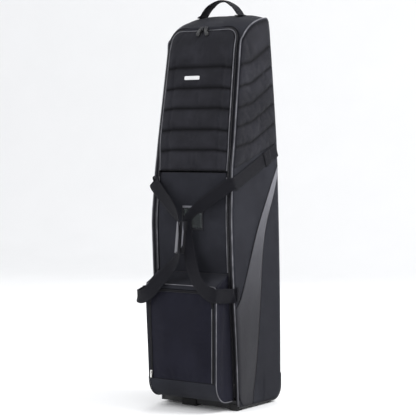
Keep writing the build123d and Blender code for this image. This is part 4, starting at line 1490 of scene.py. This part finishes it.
def pocket_border():
    """The front border round the door, and the rounded foot under it."""
    inner = door_path(-4.0 * MM)
    outer = []
    for x, z in inner:
        side = 1 if x >= 0 else -1
        if z <= D_TOP - DOOR_ROUND:
            outer.append((side * (P_HALF - 1.5 * MM), z))
        else:
            across = min(1.0, abs(x) / (D_HALF + 4 * MM) * 1.25)
            up = min(1.0, (z - (D_TOP - DOOR_ROUND)) / DOOR_ROUND * 1.35)
            outer.append((side * (P_HALF - 1.5 * MM) * across,
                          (D_TOP - DOOR_ROUND) + (EDGE_Z - D_TOP + DOOR_ROUND) * up))
    inner, outer = np.array(inner), np.array(outer)
    over = np.linspace(0, 1, 6)[None, :, None]
    flat = inner[:, None] + (outer - inner)[:, None] * over
    crown = np.sin(np.pi * over[..., 0]) * 0.8 * MM
    y = P_FRONT - crown + 0 * flat[..., 0] + 1.6 * MM * over[..., 0] ** 6
    grid = np.stack([flat[..., 0], y, flat[..., 1]], axis=-1)
    piece = cloth_sheet("pocket_border", grid, (0, 1, 0), 2.4 * MM, MAIN_CLOTH, LINING)
    finish_piece(piece, "front_panel")
    rows, cols = 22, 33
    turn = np.linspace(0, 1, rows)[:, None]
    across = np.linspace(-1, 1, cols)[None, :]
    profile = np.array(foot_arc()[::-1] + [(front_y(P_BOTTOM) - 1 * MM, P_BOTTOM)])
    line = even(profile, rows)
    x = (P_HALF - 1 * MM) * across + 0 * turn
    grid = np.stack([x, line[:, :1] + 0 * across, line[:, 1:] + 0 * across], axis=-1)
    grid[..., 1] += 1.4 * MM * np.abs(across) ** 8
    grid[..., 1] += ripple(grid, 26.0, 35) * 1.0 * MM * (1 - across ** 6) * np.sin(np.pi * turn)
    foot = cloth_sheet("pocket_foot", grid, (0, 0.7, 0.7), 2.2 * MM, MAIN_CLOTH, LINING)
    finish_piece(foot, "front_panel")


pocket_top()
pocket_border()


# %% Pocket door
def pocket_door():
    inset = 4.5 * MM
    top, radius = D_TOP - inset, DOOR_ROUND - inset
    straight_z = np.linspace(D_BOTTOM + 1 * MM, top - radius, 44)
    turn = np.linspace(0, math.pi / 2, 12)[1:]
    z = np.concatenate([straight_z, top - radius + radius * np.sin(turn)])
    half = np.concatenate([np.full(44, D_HALF - inset), D_HALF - inset - radius * (1 - np.cos(turn))])
    x = half[:, None] * np.linspace(-1, 1, 41)[None, :]
    z = z[:, None] + 0 * x
    rise = (z - D_BOTTOM) / (D_TOP - D_BOTTOM)
    full = 7 * MM * (1 - np.abs(x / D_HALF) ** 5) * np.sin(np.pi * np.clip(rise, 0, 1)) ** 0.6
    grid = np.stack([x, P_FRONT + 0.5 * MM - full, z], axis=-1)
    pad("pocket_door", grid, (0, -1, 0), 2.2 * MM, POCKET_CLOTH, np.zeros(x.shape, bool), "pocket_door",
        ["pocket_door"], cap=4.5 * MM, spare=0.006, lift=0.8 * MM, pressure=1.5,
        lining=LINING)


pocket_door()


# %% Pocket zip and trim
def pocket_zip():
    low = D_BOTTOM + 3 * MM
    facing = (0, -1, 0)
    front = P_FRONT - 0.6 * MM

    def at(line, out=0.0):
        return np.stack([line[:, 0], np.full(len(line), front - out), line[:, 1]], axis=-1)

    middle = door_path(-0.4 * MM, low)
    for label, inset, body, node in (("door", 4.2, "pocket_door", "pocket_zip_door"),
                                     ("body", -5.0, "front_panel", "pocket_zip_body")):
        edge = even(door_path(inset * MM, low), len(middle))
        over = np.linspace(0.12, 1, 4)[None, :, None]
        flat = middle[:, None] + (edge - middle)[:, None] * over
        grid = np.stack([flat[..., 0], np.full(flat.shape[:2], front - 0.5 * MM), flat[..., 1]], axis=-1)
        tape = cloth_sheet(f"pocket_tape_{label}", grid, (0, 1, 0), 1.0 * MM, ZIP_TAPE)
        finish_piece(tape, body, [node])
        move = -1.1 if label == "door" else 1.1
        rods(f"pocket_coil_{label}", [at(middle, 1.3 * MM)], [facing], body, "zip_tape", POCKET_COIL,
             pitch=2.0 * MM, length=2.8 * MM, radius=0.6 * MM, lie=ACROSS,
             shift=(move * MM, 0.5 * MM * (1 if label == "door" else -1), 0))
    inner = even(door_path(4.4 * MM, low), 200)
    sides = inner[:, 1] < D_TOP - DOOR_ROUND
    # Painted shade: the left and top runs of the door trim take the dark piping finish and the right run
    # takes the light one, so one trim comes in shaded and lit copies.
    for name, keep, tint in (("left", sides & (inner[:, 0] < 0), DARK_PIPING),
                             ("top", ~sides, DARK_PIPING),
                             ("right", sides & (inner[:, 0] > 0), PIPING)):
        trim = tube(f"pocket_trim_{name}", at(inner[keep], 1.4 * MM), 1.5 * MM, tint, 8)
        finish_piece(trim, "pocket_door")
    side = [(P_HALF - 0.6 * MM, front + 1.0 * MM, z)
            for z in np.linspace(D_BOTTOM + 8 * MM, EDGE_Z - 12 * MM, 30)]
    corner = [(P_HALF - 3 * MM, front + 0.6 * MM, EDGE_Z - 5 * MM),
              (P_HALF - 9 * MM, front + 0.2 * MM, EDGE_Z)]
    top = [(x, front, EDGE_Z + 1 * MM) for x in np.linspace(P_HALF - 20 * MM, 0, 12)]
    half_line = np.array(side + corner + top)
    foot = np.array([(P_HALF - 0.2 * MM, y - 0.5 * MM, z - 0.5 * MM)
                     for y, z in [(front_y(0.05) - 4 * MM, P_BOTTOM)] + foot_arc(9)])
    half_line = np.vstack([foot, half_line])
    whole = even(spline(np.vstack([half_line, half_line[::-1][1:] * [-1, 1, 1]]), 4), 320)
    # Painted shade: the lower left run of the rim takes the dark piping finish and the rest of the rim takes
    # the light one.
    left = (whole[:, 0] < 0) & (whole[:, 2] < EDGE_Z - 14 * MM)
    rim = tube("pocket_rim", whole[~left], 1.7 * MM, PIPING, 8)
    finish_piece(rim, "front_panel", ["pocket_edge_trim"])
    finish_piece(tube("pocket_rim_left", whole[left], 1.7 * MM, DARK_PIPING, 8), "front_panel")


pocket_zip()

# %% [markdown]
# ## Carry straps
# Two long straps run from the upper corners to a shared grip and on to the lower corners. Webbing
# keeps its width and only bends and twists, so each strap is a line of chosen points with a twist
# at each. Between points it is smooth. The left strap has a spare end that stands off the corner.

# %% Webbing that twists along a line
STRAP_T = 2.6 * MM
STRAP_W = 0.047


def twisted(name, points, body, nodes=(), width=STRAP_W, steps=10):
    """points are (x, height, out from the front, twist in degrees, share of the width)."""
    line = spline(points, steps)
    middle = front_point(line[:, 0], line[:, 1], line[:, 2])
    out = front_point(line[:, 0], line[:, 1], 1.0) - front_point(line[:, 0], line[:, 1], 0.0)
    tangent = frames_along(middle)
    flat = np.cross(out, tangent)
    size = np.linalg.norm(flat, axis=1)
    for i in range(len(flat)):
        flat[i] = flat[i] / size[i] if size[i] > 0.4 else flat[i - 1]
        if i and flat[i] @ flat[i - 1] < 0:
            flat[i] *= -1
    face = np.cross(tangent, flat)
    angle = np.radians(line[:, 3])[:, None]
    across = np.cos(angle) * flat + np.sin(angle) * face
    piece = strip(name, middle, across, width * line[:, 4], STRAP_T, WEBBING, crown=0.05)
    finish_piece(piece, body, nodes)
    edges = []
    for side in (-0.40, 0.40):
        up = np.cross(tangent, across)
        up *= np.sign(np.sum(up * out, axis=1))[:, None] + (np.sum(up * out, axis=1) == 0)[:, None]
        edges.append(middle + across * (width * line[:, 4] * side)[:, None] + up * STRAP_T * 0.52)
    rods(f"{name}_stitches", edges, [out, out], body, "webbing", THREAD, pitch=5 * MM,
         length=3.2 * MM, radius=0.35 * MM, lie=LENGTHWISE, sides=5)
    return piece


LEFT_TOP = [(-0.166, 0.772, 0.004, 0, 1.0), (-0.150, 0.756, 0.014, 0, 1.0), (-0.105, 0.720, 0.030, 6, 1.0),
            (-0.058, 0.684, 0.046, 14, 0.98), (-0.026, 0.655, 0.056, 34, 0.9),
            (-0.014, 0.622, 0.058, 62, 0.72), (-0.012, 0.590, 0.059, 68, 0.66),
            (-0.013, 0.556, 0.060, 60, 0.70), (-0.020, 0.526, 0.064, 34, 0.9),
            (-0.042, 0.490, 0.070, 16, 1.0), (-0.082, 0.446, 0.087, 4, 1.0),
            (-0.124, 0.404, 0.095, -4, 1.0), (-0.160, 0.386, 0.090, -4, 1.0), (-0.190, 0.383, 0.076, 0, 1.0),
            (-0.200, 0.385, 0.056, 0, 1.0), (-0.197, 0.388, 0.034, 0, 1.0), (-0.186, 0.390, 0.016, 0, 1.0),
            (-0.176, 0.393, 0.002, 0, 1.0)]
RIGHT_TOP = [(0.166, 0.770, 0.004, 0, 1.0), (0.150, 0.758, 0.013, 0, 1.0), (0.112, 0.730, 0.024, -4, 1.0),
             (0.070, 0.697, 0.036, -20, 0.94), (0.036, 0.672, 0.044, -52, 0.80),
             (0.012, 0.646, 0.046, -64, 0.74), (0.006, 0.606, 0.044, -46, 0.82),
             (0.010, 0.562, 0.043, -26, 0.90), (0.022, 0.520, 0.050, -12, 0.96),
             (0.044, 0.476, 0.066, -6, 1.0), (0.078, 0.440, 0.084, 0, 1.0), (0.112, 0.415, 0.090, 0, 1.03),
             (0.138, 0.404, 0.087, 0, 1.08), (0.148, 0.401, 0.074, 0, 1.12), (0.152, 0.398, 0.050, 0, 1.12),
             (0.157, 0.395, 0.026, 0, 1.10), (0.163, 0.393, 0.010, 0, 1.06), (0.168, 0.393, 0.003, 0, 1.0)]
twisted("carry_strap_left", LEFT_TOP, "carry_loop_left", ["carry_loop_left"])
twisted("carry_strap_right", RIGHT_TOP, "carry_loop_right", ["carry_loop_right"])


# %% Straps sewn to the sides
def side_straps():
    low, high = (-0.104, 0.765), (0.152, 0.880)
    y = np.linspace(low[0], high[0], 40)
    y[0] += 4 * MM
    z = np.interp(y, (low[0], high[0]), (low[1], high[1]))
    x = np.array([side_x(a, b, 2.0 * MM) for a, b in zip(y, z)])
    line = np.stack([x, y, z], axis=-1)
    front = np.array([(half_width(0.765) - 8 * MM, front_y(0.765) - 2.5 * MM, 0.7625),
                      (half_width(0.765) - 2 * MM, front_y(0.765) - 1.0 * MM, 0.7635)])
    line = even(np.vstack([front, line]), 60)
    for side, turn in (("right", 1), ("left", -1)):
        route = line * [turn, 1, 1]
        piece = strip(f"side_strap_{side}", route, (0, -0.41, 0.91), STRAP_W + 1 * MM, 2.6 * MM, WEBBING,
                      crown=0.05)
        finish_piece(piece, "root", [f"side_webbing_{side}"])
        tangent = frames_along(route)
        across = np.cross(tangent, (turn, 0, 0))
        edges = [route + across * s * 0.0195 + [turn * 1.35 * MM, 0, 0] for s in (-1, 1)]
        rods(f"side_strap_stitches_{side}", edges, [(turn, 0, 0)] * 2, "root", "webbing", THREAD,
             pitch=5 * MM, length=3.2 * MM, radius=0.35 * MM, lie=LENGTHWISE, sides=5)


side_straps()


# %% Sewn patches and anchor loops
def box_stitch(name, centre, u, v, out, half_u, half_v, body):
    """A stitched box with its two diagonals, as straps are fastened."""
    centre, u, v = (np.asarray(a, float) for a in (centre, u, v))
    corner = [centre + u * a * half_u + v * b * half_v for a, b in ((-1, -1), (1, -1), (1, 1), (-1, 1))]
    lines = [even([a, b], 8) for a, b in zip(corner, corner[1:] + corner[:1])]
    lines += [even([corner[0], corner[2]], 8), even([corner[1], corner[3]], 8)]
    rods(name, lines, [out] * 6, body, "webbing", THREAD, pitch=4 * MM, length=2.8 * MM,
         radius=0.4 * MM, lie=LENGTHWISE, sides=5)


def anchors():
    for side, turn in (("right", 1), ("left", -1)):
        y, z = 0.092, 0.853
        x = float(side_x(y, z, 4.4 * MM)) * turn
        run = np.array([0, 0.264, 0.119]) / math.hypot(0.264, 0.119)
        rise = np.array([0, -run[2], run[1]])
        line = np.array([np.array([x, y, z]) + run * s for s in np.linspace(-0.021, 0.021, 6)])
        patch = strip(f"side_patch_{side}", line, rise, 0.052, 2.2 * MM, WEBBING, crown=0.05)
        finish_piece(patch, "root", ["sewn_patches"])
        box_stitch(f"side_patch_stitches_{side}", (x + turn * 1.1 * MM, y, z), run, rise, (turn, 0, 0),
                   0.016, 0.020, "root")
        low_z = 0.396
        y0 = float(front_y(low_z))
        route = [(0.1665, y0 + 0.052, low_z), (0.1672, y0 + 0.030, low_z), (0.1688, y0 + 0.014, low_z),
                 (0.1745, y0 + 0.006, low_z), (0.181, y0 + 0.010, low_z), (0.1825, y0 + 0.022, low_z),
                 (0.179, y0 + 0.036, low_z), (0.1722, y0 + 0.044, low_z), (0.1700, y0 + 0.052, low_z)]
        small = [(0.1665 + (a - 0.1665) * 0.4, y0 + (b - y0) * 0.42, c) for a, b, c in route]
        loop = strip(f"anchor_loop_{side}", spline(np.array(small) * [turn, 1, 1], 6), (0, 0, 1),
                     STRAP_W, 2.0 * MM, WEBBING)
        finish_piece(loop, "root", ["strap_loops"])


anchors()

# %% [markdown]
# ## Grip wrap
# The wrap is a padded sleeve that closes round both straps. It is two curved halves: the back one
# stays on the straps and the front one opens like a door along its left edge. Both have bound
# edges in a lighter tape, and the wide binding on the left is what catches the light.

# %% Grip wrap
GRIP_LEAN = 0.14                                    # it leans to the right going up


def grip():
    low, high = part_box("grip_flap")
    back_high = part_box("grip_wrap")[1]
    x_mid, half = (low[0] + high[0]) / 2 - 5 * MM, (high[0] - low[0]) / 2
    z_low, z_high = low[2] + 1 * MM, high[2] - 1 * MM
    z_mid = (z_low + z_high) / 2
    out_front = float(front_y(z_mid)) - low[1]
    out_back = float(front_y(z_mid)) - back_high[1]
    middle = (out_front + out_back) / 2
    depth = (out_front - out_back) / 2 - 1 * MM
    rows, cols = 34, 23
    turn = np.linspace(0, math.pi, cols)[None, :]
    z = np.linspace(z_low, z_high, rows)[:, None]
    centre = x_mid + GRIP_LEAN * (z - z_mid)
    waist = 1 - 0.06 * np.cos(np.linspace(-math.pi, math.pi, rows))[:, None]
    for name, face, body, node, gap in (("grip_front", 1, "grip_flap", "grip_flap", 0.9),
                                        ("grip_back", -1, "carry_loop_left", "grip_wrap", -0.9)):
        x = centre + half * np.cos(turn) * waist * 0.97
        out = middle + gap * MM + face * depth * np.sin(turn) ** 0.75 * waist
        out = out + ripple(np.stack([x, out, z + 0 * x], -1), 60.0, 41) * 0.8 * MM
        grid = front_point(x, z + 0 * x, out)
        inner = front_point(centre + half * np.cos(turn) * waist * 0.80, z + 0 * x,
                            middle + gap * MM + face * (depth - 3.5 * MM) * np.sin(turn) ** 0.75 * waist)
        away = inner - grid
        away[np.linalg.norm(away, axis=-1) < 1e-5] = (0, 1e-4, 0)
        piece = cloth_sheet(name, grid, away, 1.0, GRIP_CLOTH)
        finish_piece(piece, body, [node])
        for end, row in (("low", 0), ("high", rows - 1)):
            trim = tube(f"{name}_binding_{end}", grid[row] * 0.6 + inner[row] * 0.4, 2.0 * MM,
                        BINDING_DARK, 6)
            finish_piece(trim, body)
    left = front_point(centre[:, 0] - half * 0.66, z[:, 0], middle + depth * 0.86)
    band = strip("grip_binding_left", left, (0.96, -0.28, 0), 15 * MM, 2.0 * MM, SILVER_TAPE)
    finish_piece(band, "grip_flap")
    right = front_point(centre[:, 0] + half * 0.62, z[:, 0], middle + depth * 0.84)
    thin = strip("grip_binding_right", right, (0.8, 0.5, 0), 5 * MM, 1.6 * MM, BINDING)
    finish_piece(thin, "grip_flap")


GRIP_CLOTH = cloth("grip_cloth", (0.008, 0.008, 0.010), (0.028, 0.028, 0.032), pitch=0.0012, rough=0.7)
SILVER_TAPE = cloth("silver_tape", (0.10, 0.10, 0.11), (0.24, 0.24, 0.26), pitch=0.0012, rough=0.45)
grip()

# %% [markdown]
# ## Top handle
# The grab handle is a strap folded along its middle, so it is narrow and thick where the hand
# goes and flat where it is sewn down. It pitches up to a soft point.

# %% Top handle
def handle():
    low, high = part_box("top_handle")
    y, reach = (low[1] + high[1]) / 2, high[0] - 8 * MM
    peak = high[2] - 2.4 * MM
    ground = cap_height(reach, y)
    legs = [(reach + 12 * MM, cap_height(reach + 12 * MM, y) + 3.5 * MM), (reach + 2 * MM, ground + 6 * MM),
            (reach - 7 * MM, ground + 18 * MM), (reach - 22 * MM, low[2] + 24 * MM),
            (0.034, peak - 9 * MM), (0.016, peak - 1.5 * MM), (0.005, peak + 0.2 * MM)]
    points = [(x, y, z) for x, z in legs] + [(-x, y, z) for x, z in legs[::-1]]
    line = spline(points, 8)
    fold = ramp01(0.060 - np.abs(line[:, 0]), 0.0, 0.045)
    width = 0.046 - 0.021 * fold
    piece = strip("top_handle", line, (0, 1, 0), width, 3.2 * MM, WEBBING, crown=0.25)
    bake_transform(piece)
    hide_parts("top_handle")
    under = line - [0, 0, 2.6 * MM]
    keep = np.abs(line[:, 0]) < 0.050
    second = strip("top_handle_fold", under[keep], (0, 1, 0), width[keep] * 0.96, 2.8 * MM, WEBBING)
    finish_piece(second, "top_handle")
    edges = [line[keep] + [0, s * 0.0075, 2.4 * MM] for s in (-1, 1)]
    rods("top_handle_stitches", edges, [(0, 0, 1)] * 2, "top_handle", "webbing", THREAD, pitch=4.5 * MM,
         length=3 * MM, radius=0.4 * MM, lie=LENGTHWISE, sides=5)
    for side, turn in (("right", 1), ("left", -1)):
        x = np.linspace(reach - 10 * MM, reach + 17 * MM, 8)
        drop = [cap_height(a, y) + 1.4 * MM for a in x]
        route = np.stack([turn * x, np.full(8, y), drop], axis=-1)
        patch = strip(f"handle_patch_{side}", route, (0, 1, 0), 0.040, 2.2 * MM, WEBBING)
        finish_piece(patch, "root")
        spot = reach + 8 * MM
        centre = (turn * spot, y, cap_height(spot, y) + 4.6 * MM)
        tilt = (cap_height(spot + 0.01, y) - cap_height(spot - 0.01, y)) / 0.02
        box_stitch(f"handle_stitches_{side}", centre, (turn, 0, tilt), (0, 1, 0), (0, 0, 1), 0.011,
                   0.015, "root")


def cap_height(x, y):
    """The cap's height over a place, from its grid."""
    row = np.argmin(np.abs(CAP[:, 0, 1] - y))
    return float(np.interp(x, CAP[row, :, 0], CAP[row, :, 2]))


handle()

# %% [markdown]
# ## Zip pull grips
# Each main zip pull has a moulded grip over its metal tab, wider at the bottom so that a gloved
# hand can hold it. The two grips splay apart as they hang.

# %% Grips on the main zip pulls
def pull_grips():
    for side, turn in (("right", 1), ("left", -1)):
        low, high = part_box(f"zip_pull_{side}")
        x = (low[0] + high[0]) / 2
        y = low[1] - 2.0 * MM
        route = np.array([(x + turn * lean * MM, y + back * MM, high[2] - fall * MM) for lean, back, fall in
                          ((0.5, 2.5, 3), (3, 1.0, 8), (6, -0.5, 14), (9, -1.0, 20), (11, -0.5, 26))])
        width = np.interp(np.arange(17), (0, 3, 12, 16), (0.008, 0.011, 0.014, 0.010))
        grip_piece = strip(f"pull_grip_{side}", even(route, 17), (1, 0, 0), width, 4.6 * MM, BUCKLE,
                           crown=0.2)
        finish_piece(grip_piece, f"zip_pull_{side}")
        low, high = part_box(f"zip_slider_{side}")
        middle = np.array([(x, (low[1] + high[1]) / 2, z) for z in np.linspace(low[2] + MM, high[2] - MM, 6)])
        cover = strip(f"slider_shell_{side}", middle, (1, 0, 0), 0.0125, 8 * MM, BLACK_METAL, crown=0.1)
        finish_piece(cover, f"zip_slider_{side}")


pull_grips()

# %% [markdown]
# ## Inside straps and hardware
# Inside, one strap with a side-release buckle holds the golf bag. The buckle, the wheels, the
# feet and the base are hard parts whose CAD shape is already right, so they only get their
# finishes.

# %% Inside webbing
for side in ("right", "left"):
    low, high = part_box(f"inner_webbing_{side}")
    a, b = (low[0], high[0])
    x = np.linspace(a, b, 24)
    y = (low[1] + high[1]) / 2 + 2.0 * MM * np.sin(np.linspace(0, math.pi, 24))
    line = np.stack([x, y, np.full(24, (low[2] + high[2]) / 2)], axis=-1)
    inside = strip(f"inner_strap_{side}", line, (0, 0, 1), high[2] - low[2], 1.8 * MM, WEBBING)
    finish_piece(inside, "root", [f"inner_webbing_{side}"])


# %% Finishes for the hard parts
HARD = {"base_tray": MOULDING, "base_board": SHEET, "back_stiffener": SHEET, "front_feet": FOOT,
        "foot_screws": SCREW, "buckle_female": BUCKLE, "buckle_male": BUCKLE,
        "zip_slider_right": BLACK_METAL, "zip_slider_left": BLACK_METAL, "zip_pull_right": BLACK_METAL,
        "zip_pull_left": BLACK_METAL, "pocket_slider": NICKEL, "pocket_pull": NICKEL}
for side in ("right", "left"):
    HARD.update({f"wheel_housing_{side}": MOULDING, f"axle_{side}": AXLE_STEEL, f"hub_{side}": HUB,
                 f"tyre_{side}": TYRE, f"bearings_{side}": BEARING})
for node, finish in HARD.items():
    mesh = frame["nodes"][node].data
    for slot in range(max(1, len(mesh.materials))):
        if len(mesh.materials) == 0:
            mesh.materials.append(finish)
        else:
            mesh.materials[slot] = finish
print("hard parts", len(HARD))
